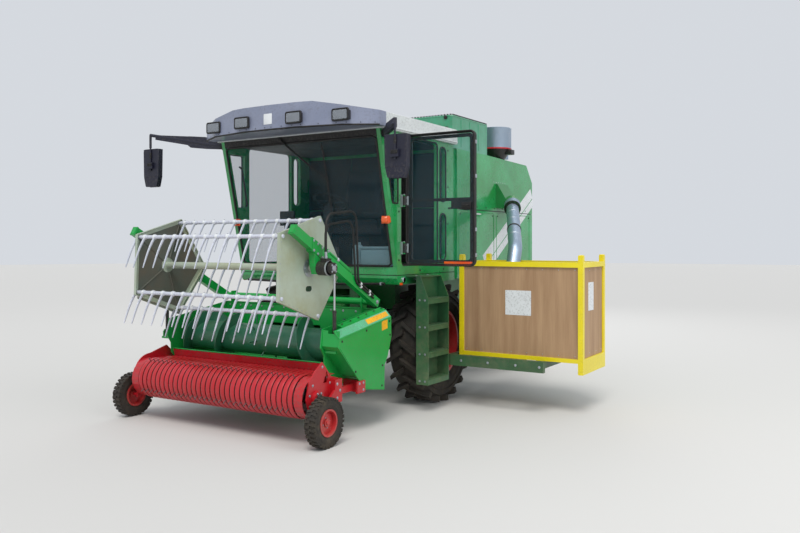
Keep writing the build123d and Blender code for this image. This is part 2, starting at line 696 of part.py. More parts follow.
# Discharge chute on the left wall and the duct that drops into the crate
TUBE_RADIUS = 75.0
TUBE_SHEET = 4.0
COLLAR_RADIUS = 96.0
CHUTE_Y = CYCLONE_Y - 250
CHUTE_Z = SEAM_Z - 10
TUBE_ROUTE = (
    (BODY_X + 245, CHUTE_Y - 50, CHUTE_Z + 45),
    (CRATE_INNER_X + 390, CRATE_REAR_Y - 130, CRATE_TOP + 140),
    (CRATE_INNER_X + 410, CRATE_REAR_Y - 260, CRATE_TOP - 100),
)
TUBE_RUN = (Vector(*TUBE_ROUTE[1]) - Vector(*TUBE_ROUTE[0])).normalized()
COLLAR_FOOT = tuple(Vector(*TUBE_ROUTE[0]) - TUBE_RUN * 200)
with BuildPart() as discharge_chute:
    with BuildSketch(Plane.XY.offset(CHUTE_Z + 360)) as chute_top:
        with BuildLine():
            Polyline((BODY_X, CHUTE_Y), (BODY_X, CHUTE_Y + 320), (BODY_X + 20, CHUTE_Y + 320),
                     (BODY_X + 20, CHUTE_Y), close=True)
        make_face()
    with BuildSketch(Plane.XY.offset(CHUTE_Z + 60)) as chute_foot:
        with BuildLine():
            Polyline((BODY_X, CHUTE_Y), (BODY_X, CHUTE_Y + 320), (BODY_X + 200, CHUTE_Y + 260),
                     (BODY_X + 200, CHUTE_Y), close=True)
        make_face()
    loft(Sketch() + [chute_top.sketch, chute_foot.sketch])
    rod(COLLAR_FOOT, TUBE_ROUTE[0], COLLAR_RADIUS)
discharge_chute.part.label = "discharge_chute"
export_step(discharge_chute.part, "parts/discharge_chute.step")

with BuildPart() as discharge_tube:
    with BuildLine() as tube_line:
        FilletPolyline(*TUBE_ROUTE, radius=160)
    with BuildSketch(Plane(origin=TUBE_ROUTE[0], z_dir=tube_line.line % 0)) as tube_ring:
        Circle(TUBE_RADIUS)
        Circle(TUBE_RADIUS - TUBE_SHEET, mode=Mode.SUBTRACT)
    sweep(tube_ring.sketch, path=tube_line.line)
discharge_tube.part.label = "discharge_tube"
export_step(discharge_tube.part, "parts/discharge_tube.step")


def screen_y(z):
    """Return the station of the raked windscreen's outer face at a height."""
    return SCREEN_FOOT_Y - SCREEN_RAKE * (z - SILL_TOP)


# Cab frame: floor tray with a pressed line, posts with slot windows, rear wall, head rails
QUARTER_WINDOW = [
    (screen_y(SILL_TOP + 630) + 58, SILL_TOP + 630), (screen_y(CAB_HEAD - 120) + 58, CAB_HEAD - 120),
    (DOOR_HINGE_Y - 50, CAB_HEAD - 120), (DOOR_HINGE_Y - 50, SILL_TOP + 630),
]
POST_SLOTS = ((SILL_TOP + 62, SILL_TOP + 552), (SILL_TOP + 692, CAB_HEAD - 62))
SLOT_FRONT = DOOR_REAR_Y + 25
SLOT_REAR = SLOT_FRONT + 125
SLOT_RADIUS = 58.0
with BuildPart() as cab_frame:
    side_slab(
        [
            (SCREEN_FOOT_Y + 30, SILL_BOTTOM), (SCREEN_FOOT_Y, SILL_BOTTOM + 60),
            (SCREEN_FOOT_Y, SILL_TOP), (CAB_REAR, SILL_TOP), (CAB_REAR, SILL_BOTTOM),
        ],
        -CAB_X, CAB_X,
    )
    rail_z = CAB_HEAD - HEAD_RAIL
    for side in (-1, 1):
        wall = both(side, CAB_X - CAB_WALL, CAB_X)
        side_slab(
            [(screen_y(SILL_TOP), SILL_TOP), (CAB_REAR, SILL_TOP), (CAB_REAR, CAB_HEAD),
             (screen_y(CAB_HEAD), CAB_HEAD)],
            *wall,
        )
        side_window(
            *wall, DOOR_HINGE_Y + DOOR_MARGIN, DOOR_REAR_Y - DOOR_MARGIN, DOOR_BOTTOM,
            DOOR_TOP, 50,
        )
        side_slab(QUARTER_WINDOW, *wall, mode=Mode.SUBTRACT)
        for z0, z1 in POST_SLOTS:
            side_window(*wall, SLOT_FRONT, SLOT_REAR, z0, z1, SLOT_RADIUS)
        box_between(
            *both(side, CAB_X - 16, CAB_X), CAB_REAR - 90, CAB_REAR, SILL_TOP, CAB_HEAD,
            mode=Mode.SUBTRACT,
        )
        box_between(
            *both(side, CAB_X - 5, CAB_X), SCREEN_FOOT_Y, CAB_REAR, SILL_TOP - 84,
            SILL_TOP - 74, mode=Mode.SUBTRACT,
        )
    box_between(
        -CAB_X, CAB_X, SCREEN_FOOT_Y, SCREEN_FOOT_Y + 5, SILL_TOP - 84, SILL_TOP - 74,
        mode=Mode.SUBTRACT,
    )
    front_slab(
        [(-CAB_X + 16, SILL_TOP), (-CAB_X + 16, CAB_HEAD), (CAB_X - 16, CAB_HEAD),
         (CAB_X - 16, SILL_TOP)],
        CAB_REAR - 30, CAB_REAR,
    )
    side_slab(
        [
            (screen_y(rail_z), rail_z), (SCREEN_HEAD_Y + 70, rail_z),
            (SCREEN_HEAD_Y + 70, CAB_HEAD), (screen_y(CAB_HEAD), CAB_HEAD),
        ],
        -CAB_X, CAB_X,
    )
    for side in (-1, 1):
        plan_slab(
            [
                (side * (CAB_X - CAB_WALL - 90), SCREEN_HEAD_Y + 68),
                (side * (CAB_X - CAB_WALL), SCREEN_HEAD_Y + 68),
                (side * (CAB_X - CAB_WALL), SCREEN_HEAD_Y + 158),
            ],
            CAB_HEAD - 20, CAB_HEAD,
        )
    for z in DOOR_HINGES:
        for z0 in (z - HINGE_HALF + 2, z + HINGE_HALF - 12):
            box_between(CAB_X, DOOR_HINGE_X, DOOR_HINGE_Y - 13, DOOR_HINGE_Y + 13, z0, z0 + 10)
            rod((DOOR_HINGE_X, DOOR_HINGE_Y, z0), (DOOR_HINGE_X, DOOR_HINGE_Y, z0 + 10), 13)
        rod(
            (DOOR_HINGE_X, DOOR_HINGE_Y, z - HINGE_HALF),
            (DOOR_HINGE_X, DOOR_HINGE_Y, z + HINGE_HALF), HINGE_PIN + RUNNING_FIT,
            mode=Mode.SUBTRACT,
        )
cab_frame.part.label = "cab_frame"
export_step(cab_frame.part, "parts/cab_frame.step")

# Windscreen, the right side pane, quarter panes and the panes in the rear posts
with BuildPart() as cab_glass:
    inner = CAB_X - CAB_WALL
    side_slab(
        [
            (screen_y(SILL_TOP), SILL_TOP), (screen_y(rail_z), rail_z),
            (screen_y(rail_z) + GLASS, rail_z), (screen_y(SILL_TOP) + GLASS, SILL_TOP),
        ],
        -inner, inner,
    )
    right_pane = (-CAB_X + DOOR_MARGIN, -CAB_X + DOOR_MARGIN + GLASS)
    side_window(
        *right_pane, DOOR_HINGE_Y + DOOR_MARGIN, DOOR_REAR_Y - DOOR_MARGIN, DOOR_BOTTOM,
        DOOR_TOP, 50, mode=Mode.ADD,
    )
    for side in (-1, 1):
        pane = both(side, CAB_X - DOOR_MARGIN - GLASS, CAB_X - DOOR_MARGIN)
        side_slab(QUARTER_WINDOW, *pane)
        for z0, z1 in POST_SLOTS:
            side_window(*pane, SLOT_FRONT, SLOT_REAR, z0, z1, SLOT_RADIUS, mode=Mode.ADD)
cab_glass.part.label = "cab_glass"
export_step(cab_glass.part, "parts/cab_glass.step")

# Roof and the bowed grey visor in front of it: half widths and reach of the visor's corners
VISOR_CORNERS = ((CAB_X + 84, 133.0), (CAB_X - 220, 310.0), (CAB_X - 700, 405.0))
VISOR_BACK = SCREEN_HEAD_Y - 20
VISOR_FOOT = CAB_HEAD + 8
ROOF_FLAT = BODY_X / 2
ROOF_EDGE = CAB_X + 40
ROOF_SHOULDER = ROOF_TOP - 95
VISOR_LINE = (
    [(-x, SCREEN_HEAD_Y - reach) for x, reach in VISOR_CORNERS]
    + [(0, SCREEN_HEAD_Y - VISOR_CORNERS[-1][1] - 12)]
    + [(x, SCREEN_HEAD_Y - reach) for x, reach in VISOR_CORNERS[::-1]]
)
with BuildPart() as cab_visor:
    plan_slab(
        VISOR_LINE + [(VISOR_CORNERS[0][0], VISOR_BACK), (-VISOR_CORNERS[0][0], VISOR_BACK)],
        VISOR_FOOT, ROOF_TOP,
    )
    for side in (-1, 1):
        front_slab(
            [(side * ROOF_FLAT, ROOF_TOP + 1), (side * (CAB_X + 90), ROOF_TOP + 1),
             (side * (CAB_X + 90), ROOF_SHOULDER - 10)],
            SCREEN_HEAD_Y - 550, VISOR_BACK, mode=Mode.SUBTRACT,
        )

with BuildPart() as cab_roof:
    front_slab(
        [
            (-ROOF_EDGE, CAB_HEAD), (-ROOF_EDGE, ROOF_SHOULDER), (-ROOF_FLAT, ROOF_TOP),
            (ROOF_FLAT, ROOF_TOP), (ROOF_EDGE, ROOF_SHOULDER), (ROOF_EDGE, CAB_HEAD),
        ],
        VISOR_BACK, CAB_REAR,
    )
    box_between(
        -CAB_X + 60, CAB_X - 60, VISOR_BACK + 90, CAB_REAR - 40, CAB_HEAD, ROOF_TOP - 150,
        mode=Mode.SUBTRACT,
    )
cab_roof.part.label = "cab_roof"
export_step(cab_roof.part, "parts/cab_roof.step")

# Four work lamps let into the visor's face at its corners
LAMP_FOOT = VISOR_FOOT + 34
LAMP_HEIGHT = 118.0
with BuildPart() as work_lamps:
    for x, reach in VISOR_CORNERS[1:]:
        for side in (-1, 1):
            y = SCREEN_HEAD_Y - reach
            front_window(side * x - 95, side * x + 95, y - 30, y - 16, LAMP_FOOT,
                         LAMP_FOOT + LAMP_HEIGHT, 14)
            front_window(side * x - 80, side * x + 80, y - 16, y + 30, LAMP_FOOT + 14,
                         LAMP_FOOT + LAMP_HEIGHT - 14, 10)
work_lamps.part.label = "work_lamps"
export_step(work_lamps.part, "parts/work_lamps.step")
seated_visor = cab_visor.part - work_lamps.part
seated_visor.label = "cab_visor"
export_step(seated_visor, "parts/cab_visor.step")

# Operator's seat and controls, set on the cab floor
SEAT_Z = SILL_TOP + 330
with BuildPart() as seat:
    box_between(-150, 150, -330, -30, SILL_TOP, SEAT_Z)
    box_between(-250, 250, -440, 60, SEAT_Z, SEAT_Z + 110)
    side_slab([(20, SEAT_Z + 110), (110, SEAT_Z + 720), (190, SEAT_Z + 720), (130, SEAT_Z + 80)],
              -240, 240)
    for side in (-1, 1):
        box_between(*both(side, 262, 330), -400, 40, SEAT_Z + 180, SEAT_Z + 240)
        box_between(*both(side, 245, 290), -20, 50, SEAT_Z + 80, SEAT_Z + 190)
seat.part.label = "seat"
export_step(seat.part, "parts/seat.step")

WHEEL_Z = SILL_TOP + 670
with BuildPart() as console:
    side_slab(
        [(-700, SILL_TOP), (-640, SILL_TOP), (-560, WHEEL_Z - 40), (-610, WHEEL_Z - 30)],
        -45, 45,
    )
    with BuildSketch(
        Plane(origin=(0, -560, WHEEL_Z), x_dir=(1, 0, 0), z_dir=(0, 0.45, 0.9))
    ) as rim_ring:
        Circle(195)
        Circle(172, mode=Mode.SUBTRACT)
        Rectangle(350, 34)
    extrude(rim_ring.sketch, amount=24)
    rod((0, -590, WHEEL_Z - 50), (0, -556, WHEEL_Z + 8), 22)
    box_between(-560, -350, -420, 60, SILL_TOP, SILL_TOP + 480)
    box_between(-520, -500, -640, -420, SILL_TOP + 310, SILL_TOP + 340)
    box_between(-560, -440, -660, -630, SILL_TOP + 340, SILL_TOP + 560)
console.part.label = "console"
export_step(console.part, "parts/console.step")


# Left door, standing open: it reaches out along +X from its hinge line
def door_layer(margin, y0, y1, radius, mode=Mode.ADD):
    """Add one round-cornered layer of the open door, set in from its outline."""
    front_window(
        DOOR_HINGE_X + DOOR_INSET + margin, DOOR_HINGE_X + DOOR_WIDTH - margin,
        DOOR_HINGE_Y + y0, DOOR_HINGE_Y + y1, DOOR_BOTTOM + margin, DOOR_TOP - margin,
        radius, mode=mode,
    )


GLASS_FRONT = 10.0
GLASS_BACK = GLASS_FRONT + GLASS
BAND_IN = DOOR_EDGE + 14
DOOR_FREE = DOOR_HINGE_X + DOOR_WIDTH
with BuildPart() as door_frame:
    door_layer(0, 0, DOOR_DEPTH, 56)
    door_layer(DOOR_EDGE, 0, DOOR_DEPTH, 42, mode=Mode.SUBTRACT)
    for z in DOOR_HINGES:
        rod((DOOR_HINGE_X, DOOR_HINGE_Y, z - HINGE_HALF),
            (DOOR_HINGE_X, DOOR_HINGE_Y, z + HINGE_HALF), HINGE_PIN)
        rod((DOOR_HINGE_X, DOOR_HINGE_Y, z - 44), (DOOR_HINGE_X, DOOR_HINGE_Y, z + 44), 16)
        box_between(
            DOOR_HINGE_X, DOOR_HINGE_X + DOOR_INSET + DOOR_EDGE, DOOR_HINGE_Y,
            DOOR_HINGE_Y + GLASS_FRONT, z - 40, z + 40,
        )
with BuildPart() as door_band:
    door_layer(BAND_IN, GLASS_BACK, DOOR_DEPTH, 36)
    door_layer(BAND_IN + DOOR_BAND, GLASS_BACK, DOOR_DEPTH, 24, mode=Mode.SUBTRACT)
    box_between(
        DOOR_HINGE_X + DOOR_INSET + BAND_IN + DOOR_BAND, DOOR_FREE - BAND_IN - DOOR_BAND,
        DOOR_HINGE_Y + GLASS_BACK, DOOR_HINGE_Y + DOOR_DEPTH, DOOR_BAR_Z, DOOR_BAR_Z + 30,
    )
    front_slab(
        [
            (DOOR_FREE - 260, DOOR_BAR_Z), (DOOR_FREE - 50, DOOR_BAR_Z),
            (DOOR_FREE - 50, DOOR_BAR_Z - 90), (DOOR_FREE - 120, DOOR_BAR_Z - 90),
            (DOOR_FREE - 260, DOOR_BAR_Z - 66),
        ],
        DOOR_HINGE_Y + GLASS_BACK, DOOR_HINGE_Y + DOOR_DEPTH + 30,
    )
whole_door = Compound(children=[door_frame.part, door_band.part])
whole_door.label = "door_frame"
export_step(whole_door, "parts/door_frame.step")

with BuildPart() as door_glass:
    door_layer(DOOR_EDGE, GLASS_FRONT, GLASS_BACK, 42)
door_glass.part.label = "door_glass"
export_step(door_glass.part, "parts/door_glass.step")

# Access ladder outside the left front wheel: two broad cheeks, a closed back and four
# folded steps, hung from a landing on the sill
LADDER_TOP = SILL_TOP - 88
STEP_COUNT = 4
STEP_LIP = 52.0
STEP_RISE = (LADDER_TOP - 222 - LADDER_FOOT - STEP_LIP) / (STEP_COUNT - 1)
with BuildPart() as ladder:
    box_between(
        CAB_X, LADDER_IN + 45, LADDER_FRONT, LADDER_REAR, LADDER_TOP - LADDER_SHEET, LADDER_TOP
    )
    for y in (LADDER_FRONT, LADDER_REAR - LADDER_SHEET):
        front_slab(
            [
                (LADDER_IN, LADDER_FOOT), (LADDER_IN, LADDER_TOP),
                (LADDER_IN + 45, LADDER_TOP), (LADDER_OUT, LADDER_TOP - 222),
                (LADDER_OUT, LADDER_FOOT),
            ],
            y, y + LADDER_SHEET,
        )
    box_between(
        LADDER_IN, LADDER_IN + 8, LADDER_FRONT, LADDER_REAR, LADDER_FOOT, LADDER_TOP
    )
    for step in range(STEP_COUNT):
        z = LADDER_FOOT + step * STEP_RISE
        front_slab(
            [
                (LADDER_IN + 8, z + STEP_LIP), (LADDER_OUT, z + STEP_LIP), (LADDER_OUT, z),
                (LADDER_OUT - 6, z), (LADDER_OUT - 6, z + STEP_LIP - 6),
                (LADDER_IN + 8, z + STEP_LIP - 6),
            ],
            LADDER_FRONT + LADDER_SHEET, LADDER_REAR - LADDER_SHEET,
        )
ladder.part.label = "ladder"
export_step(ladder.part, "parts/ladder.step")

# Mirrors: side, arm tip (x, y, z), head centre height, head width, head height, arm radius
MIRROR_ROOT_Y = SCREEN_HEAD_Y + 55
MIRROR_ROOT_Z = CAB_HEAD - 40
MIRRORS = (
    (1, (CAB_X + 370, SCREEN_HEAD_Y - 320, CAB_HEAD - 20), CAB_HEAD - 315, 235, 386, 18),
    (-1, (CAB_X + 1070, SCREEN_HEAD_Y - 50, CAB_HEAD + 150), CAB_HEAD - 225, 250, 430, 18),
)
with BuildPart() as mirrors:
    for side, (reach, tip_y, tip_z), head_z, width, height, arm_r in MIRRORS:
        root = (side * (CAB_X + 13), MIRROR_ROOT_Y, MIRROR_ROOT_Z)
        tip = (side * reach, tip_y, tip_z)
        rod(root, tip, arm_r)
        rod(tip, (tip[0], tip[1], head_z - 30), 9)
        box_between(
            *both(side, CAB_X, CAB_X + 13), MIRROR_ROOT_Y - 28, MIRROR_ROOT_Y + 40,
            MIRROR_ROOT_Z - 40, MIRROR_ROOT_Z + 24,
        )
        box_between(tip[0] - 44, tip[0] + 44, tip_y - 16, tip_y + 8, head_z - 10, head_z + 60)
        half = width / 2
        front_slab(
            [
                (tip[0] - half, head_z + height / 2), (tip[0] + half, head_z + height / 2),
                (tip[0] + half * 0.94, head_z - height * 0.24),
                (tip[0] + half * 0.7, head_z - height / 2),
                (tip[0] - half * 0.7, head_z - height / 2),
                (tip[0] - half * 0.94, head_z - height * 0.24),
            ],
            tip_y + 8, tip_y + 70,
        )
mirrors.part.label = "mirrors"
export_step(mirrors.part, "parts/mirrors.step")

# Crate: steel frame with skid boards at its ends, plywood panels, open top
POST_INNER = (CRATE_INNER_X, CRATE_OUTER_X - CRATE_POST)
POST_FRONT = (CRATE_FRONT_Y, CRATE_REAR_Y - CRATE_POST)
with BuildPart() as crate_frame:
    for x in POST_INNER:
        for y in POST_FRONT:
            box_between(
                x, x + CRATE_POST, y, y + CRATE_POST, CRATE_FLOOR - CRATE_FEET, CRATE_TOP + 60
            )
        for z0, z1 in (
            (CRATE_FLOOR - CRATE_FEET, CRATE_FLOOR), (CRATE_TOP - CRATE_POST, CRATE_TOP),
        ):
            box_between(
                x, x + CRATE_POST, CRATE_FRONT_Y + CRATE_POST, CRATE_REAR_Y - CRATE_POST,
                z0, z1,
            )
    for z0, z1 in ((CRATE_FLOOR - 40, CRATE_FLOOR), (CRATE_TOP - CRATE_POST, CRATE_TOP)):
        for y in POST_FRONT:
            box_between(
                CRATE_INNER_X + CRATE_POST, CRATE_OUTER_X - CRATE_POST,
                y, y + CRATE_POST, z0, z1,
            )
crate_frame.part.label = "crate_frame"
export_step(crate_frame.part, "parts/crate_frame.step")

with BuildPart() as crate_panels:
    box_between(
        CRATE_INNER_X + CRATE_POST, CRATE_OUTER_X - CRATE_POST, CRATE_FRONT_Y + CRATE_POST,
        CRATE_REAR_Y - CRATE_POST, CRATE_FLOOR, CRATE_FLOOR + PLYWOOD,
    )
    for y in POST_FRONT:
        box_between(
            CRATE_INNER_X + CRATE_POST, CRATE_OUTER_X - CRATE_POST, y + 16, y + 16 + PLYWOOD,
            CRATE_FLOOR, CRATE_TOP - CRATE_POST,
        )
    for x in POST_INNER:
        box_between(
            x + 16, x + 16 + PLYWOOD, CRATE_FRONT_Y + CRATE_POST, CRATE_REAR_Y - CRATE_POST,
            CRATE_FLOOR, CRATE_TOP - CRATE_POST,
        )
crate_panels.part.label = "crate_panels"
export_step(crate_panels.part, "parts/crate_panels.step")

# Carrier: an arm from the chassis behind the front wheel, side beams and two fork tines
CARRIER_Z = CRATE_FLOOR - 130
CARRIER_FRONT = CRATE_FRONT_Y - 192
CARRIER_REAR = CRATE_REAR_Y + 50
BEAM_IN = CRATE_INNER_X - 110
BEAM_OUT = CRATE_INNER_X - 30
FORK_X = (CRATE_INNER_X + 220, CRATE_INNER_X + 860)
with BuildPart() as carrier:
    box_between(
        BEAM_IN, BEAM_OUT, CARRIER_FRONT, CARRIER_REAR + 120, CARRIER_Z, CARRIER_Z + 90
    )
    box_between(
        BEAM_OUT, FORK_X[1] + 150, CARRIER_FRONT, CARRIER_FRONT + 50, CARRIER_Z,
        CARRIER_Z + 110,
    )
    box_between(
        BEAM_OUT, FORK_X[1] + 150, CARRIER_REAR, CARRIER_REAR + 60, CARRIER_Z, CARRIER_Z + 90
    )
    for x in FORK_X:
        box_between(
            x, x + 100, CARRIER_FRONT + 50, CARRIER_REAR, CARRIER_Z + 20, CRATE_FLOOR - 40
        )
    front_slab(
        [
            (RAIL_X + RAIL_WIDTH, RAIL_BOTTOM), (RAIL_X + RAIL_WIDTH, RAIL_BOTTOM + 90),
            (BEAM_OUT, CARRIER_Z + 90), (BEAM_OUT, CARRIER_Z), (BEAM_IN, CARRIER_Z),
        ],
        CARRIER_REAR + 30, CARRIER_REAR + 120,
    )
carrier.part.label = "carrier"
export_step(carrier.part, "parts/carrier.step")


def shifted(points, y, z):
    """Return (y, z) points moved by an offset."""
    return [(py + y, pz + z) for py, pz in points]


# Feeder house: sloping conveyor casing that carries the header on its pivot
with BuildPart() as feeder_house:
    side_slab(
        [
            (TROUGH_BACK, AUGER_Z - 260), (TROUGH_BACK, AUGER_Z + 140),
            (HEADER_PIVOT_Y, HEADER_PIVOT_Z + 150), (HEADER_PIVOT_Y + 110, HEADER_PIVOT_Z + 80),
            (HEADER_PIVOT_Y + 110, HEADER_PIVOT_Z - 60),
            (HEADER_PIVOT_Y - 320, HEADER_PIVOT_Z - 350),
        ],
        -FEEDER_X, FEEDER_X,
    )
    side_slab(
        [
            (TROUGH_BACK - 20, AUGER_Z - 230), (TROUGH_BACK - 20, AUGER_Z + 110),
            (HEADER_PIVOT_Y - 180, HEADER_PIVOT_Z + 60), (HEADER_PIVOT_Y - 180, HEADER_PIVOT_Z - 200),
            (HEADER_PIVOT_Y - 380, HEADER_PIVOT_Z - 320),
        ],
        -FEEDER_X + FEEDER_SHEET, FEEDER_X - FEEDER_SHEET, mode=Mode.SUBTRACT,
    )
    for side in (-1, 1):
        disc(*both(side, FEEDER_X, RAIL_X + 34), HEADER_PIVOT_Y, HEADER_PIVOT_Z, HEADER_PIN)
feeder_house.part.label = "feeder_house"
export_step(feeder_house.part, "parts/feeder_house.step")

# Header trough: one folded sheet round the auger, on a cross beam
TROUGH_LINE = [
    (TROUGH_BACK, AUGER_Z + 300), (TROUGH_BACK, AUGER_Z - 120), (TROUGH_BACK - 180, AUGER_Z - 230)
] + [
    polar(AUGER_Y, AUGER_Z, AUGER_FLIGHT + TROUGH_GAP, angle)
    for angle in (-55, -75, -95, -115, -135)
] + [(AUGER_Y - 275, AUGER_Z - 120)]
TROUGH_BEAM_Y = (TROUGH_BACK - 160, TROUGH_BACK - 60)
TROUGH_BEAM_Z = (AUGER_Z - 360, AUGER_Z - 260)
LIFT_LUG = [(-35, -60), (-35, 30), (5, 40), (30, 0), (5, -40)]
with BuildPart() as header_trough:
    side_slab(strip(TROUGH_LINE, -SHEET), -HEADER_HALF, HEADER_HALF)
    box_between(-HEADER_HALF, HEADER_HALF, *TROUGH_BEAM_Y, *TROUGH_BEAM_Z)
    box_between(
        -FEEDER_X + FEEDER_SHEET, FEEDER_X - FEEDER_SHEET, TROUGH_BACK - 120,
        TROUGH_BACK + 40, AUGER_Z - 200, AUGER_Z + 110, mode=Mode.SUBTRACT,
    )
    eye_y, eye_z = LIFT_EYE
    for side in (-1, 1):
        for lug in (-1, 1):
            cheek = sorted((side * LIFT_X + lug * 18.5, side * LIFT_X + lug * 34))
            side_slab(shifted(LIFT_LUG, eye_y, eye_z), *cheek)
        disc(side * LIFT_X - 34, side * LIFT_X + 34, eye_y, eye_z, PIN - PIN_SLACK)
        bearing = both(side, HEADER_HALF - 120, HEADER_HALF - 100)
        side_slab(
            [
                (ARM_PIVOT_Y + 10, AUGER_Z + 200), (ARM_PIVOT_Y + 50, ARM_PIVOT_Z),
                (ARM_PIVOT_Y + 36, ARM_PIVOT_Z + 50), (ARM_PIVOT_Y - 36, ARM_PIVOT_Z + 50),
                (ARM_PIVOT_Y - 50, ARM_PIVOT_Z), (ARM_PIVOT_Y - 10, AUGER_Z + 200),
            ],
            *bearing,
        )
        disc(bearing[0] - 1, bearing[1] + 1, ARM_PIVOT_Y, ARM_PIVOT_Z,
             ARM_TUBE + RUNNING_FIT, mode=Mode.SUBTRACT)
header_trough.part.label = "header_trough"
export_step(header_trough.part, "parts/header_trough.step")

# Header ends, as (y, z) offsets from the auger's centre: inner plates on both sides, and on
# the left an outer shield with a bevelled top and a folded front
END_PLATE_OUTLINE = [
    (-328, 182), (-354, 21), (-304, -58), (-298, -157), (-191, -263), (40, -360), (320, -370),
    (420, -310), (492, -200), (492, 308),
]
SHIELD_OUTLINE = [
    (-339, 108), (-355, 35), (-79, -256), (41, -379), (363, -430), (368, -197), (423, -119),
    (484, 52), (479, 237),
]
SHIELD_FRONT = [(-320, 175), (-335, 40), (-70, -240), (-40, -255)]
SHIELD_RUN = Vector(0, 815, 128)
SHELF_Z = REEL_LIFT_BASE[1] - 55
with BuildPart() as header_sides:
    for side in (-1, 1):
        plate = both(side, HEADER_HALF, HEADER_HALF + END_PLATE)
        side_slab(shifted(END_PLATE_OUTLINE, AUGER_Y, AUGER_Z), *plate)
        disc(*plate, AUGER_Y, AUGER_Z, AUGER_SHAFT + RUNNING_FIT, mode=Mode.SUBTRACT)
        base_y, base_z = REEL_LIFT_BASE
        box_between(
            *both(side, HEADER_HALF + END_PLATE, REEL_LIFT_X + 40), base_y - 35, base_y + 35,
            SHELF_Z - 10, SHELF_Z + 10,
        )
        for lug in (-1, 1):
            cheek = sorted((side * REEL_LIFT_X + lug * 17, side * REEL_LIFT_X + lug * 29))
            side_slab(
                [
                    (base_y - 30, SHELF_Z), (base_y - 30, base_z), (base_y - 14, base_z + 24),
                    (base_y + 14, base_z + 24), (base_y + 30, base_z), (base_y + 30, SHELF_Z),
                ],
                *cheek,
            )
            disc(cheek[0] - 1, cheek[1] + 1, base_y, base_z, PIN + RUNNING_FIT,
                 mode=Mode.SUBTRACT)
    side_slab(shifted(SHIELD_OUTLINE, AUGER_Y, AUGER_Z), BOX_X - SHEET, BOX_X)
    side_slab(
        strip(shifted(SHIELD_FRONT, AUGER_Y, AUGER_Z), -SHEET + 2),
        HEADER_HALF + END_PLATE, BOX_X - SHEET,
    )
    shield_y = AUGER_Y - 339
    shield_z = AUGER_Z + 108
    with BuildSketch(Plane.XZ.offset(-shield_y)) as bevel:
        with BuildLine():
            Polyline(
                (BOX_X - SHEET, shield_z), (BOX_X, shield_z - 4), (BOX_X, shield_z + 4),
                (BOX_X - 56, shield_z + 64), (BOX_X - 120, shield_z + 87),
                (BOX_X - 120, shield_z + 79), (BOX_X - 60, shield_z + 56), close=True,
            )
        make_face()
    extrude(bevel.sketch, amount=SHIELD_RUN.length, dir=SHIELD_RUN.normalized())
    box_between(
        BOX_X - 130, REEL_LIFT_X + 40, shield_y - 10, base_y + 110, shield_z + 40,
        shield_z + 130, mode=Mode.SUBTRACT,
    )
header_sides.part.label = "header_sides"
export_step(header_sides.part, "parts/header_sides.step")

# Drive case on the right end of the header, with its motor and a round cover
DRIVE_OUTLINE = [
    (-210, -60), (-80, 120), (80, 120), (380, 100), (420, 0), (340, -60), (60, -160), (-140, -160)
]
CASE_OUT = HEADER_HALF + END_PLATE + 50
with BuildPart() as header_drive:
    side_slab(
        shifted(DRIVE_OUTLINE, AUGER_Y, AUGER_Z), -CASE_OUT, -HEADER_HALF - END_PLATE
    )
    disc(-CASE_OUT - 12, -CASE_OUT, AUGER_Y, AUGER_Z, 112)
    disc(-CASE_OUT - 78, -CASE_OUT, AUGER_Y - 130, AUGER_Z - 100, 42)
    disc(-CASE_OUT - 22, -CASE_OUT, AUGER_Y + 300, AUGER_Z + 20, 66)
    disc(-CASE_OUT, -HEADER_HALF - END_PLATE, AUGER_Y, AUGER_Z, AUGER_SHAFT + RUNNING_FIT,
         mode=Mode.SUBTRACT)
header_drive.part.label = "header_drive"
export_step(header_drive.part, "parts/header_drive.step")

# Pick-up: side plates and table, stripper bands, and the rotor whose tines pass between them.
# Plate outlines are offsets from the rotor's centre.
LEFT_PLATE = [
    (-136, 0), (-96, 150), (-10, 230), (81, 290), (120, 250), (199, 157), (297, 130),
    (297, -90), (110, -130), (-10, -160), (-100, -100),
]
LEFT_CUT = [(90, 110), (140, 210), (165, 150), (150, 110)]
RIGHT_PLATE = [
    (45, 220), (250, 278), (370, 170), (450, 80), (297, -90), (45, -160),
]
GAUGE_ARM = [
    (-75, -200), (-75, -160), (200, 50), (290, 50), (290, -10), (250, -50), (-30, -200),
]
TABLE_Y = PICKUP_Y + 270
TABLE_LINE = [
    (TABLE_Y, PICKUP_Z - 40), (TABLE_Y, PICKUP_Z + 170), (TABLE_Y - 16, PICKUP_Z + 242)
]
FIRST_BAND = -BAND_PITCH * (BAND_COUNT - 1) / 2
BAND_WIDTH = BAND_PITCH - BAND_GAP
BAND_ARC = [polar(PICKUP_Y, PICKUP_Z, BAND_RADIUS, angle) for angle in range(68, 300, 16)]
BAND_LINE = (
    [(TABLE_Y - 6, PICKUP_Z + 170)] + BAND_ARC + [(TABLE_Y - 8, PICKUP_Z - 60)]
)
CROSS_Y = (AUGER_Y - 30, AUGER_Y + 30)
CROSS_Z = (PICKUP_Z - 25, PICKUP_Z + 80)
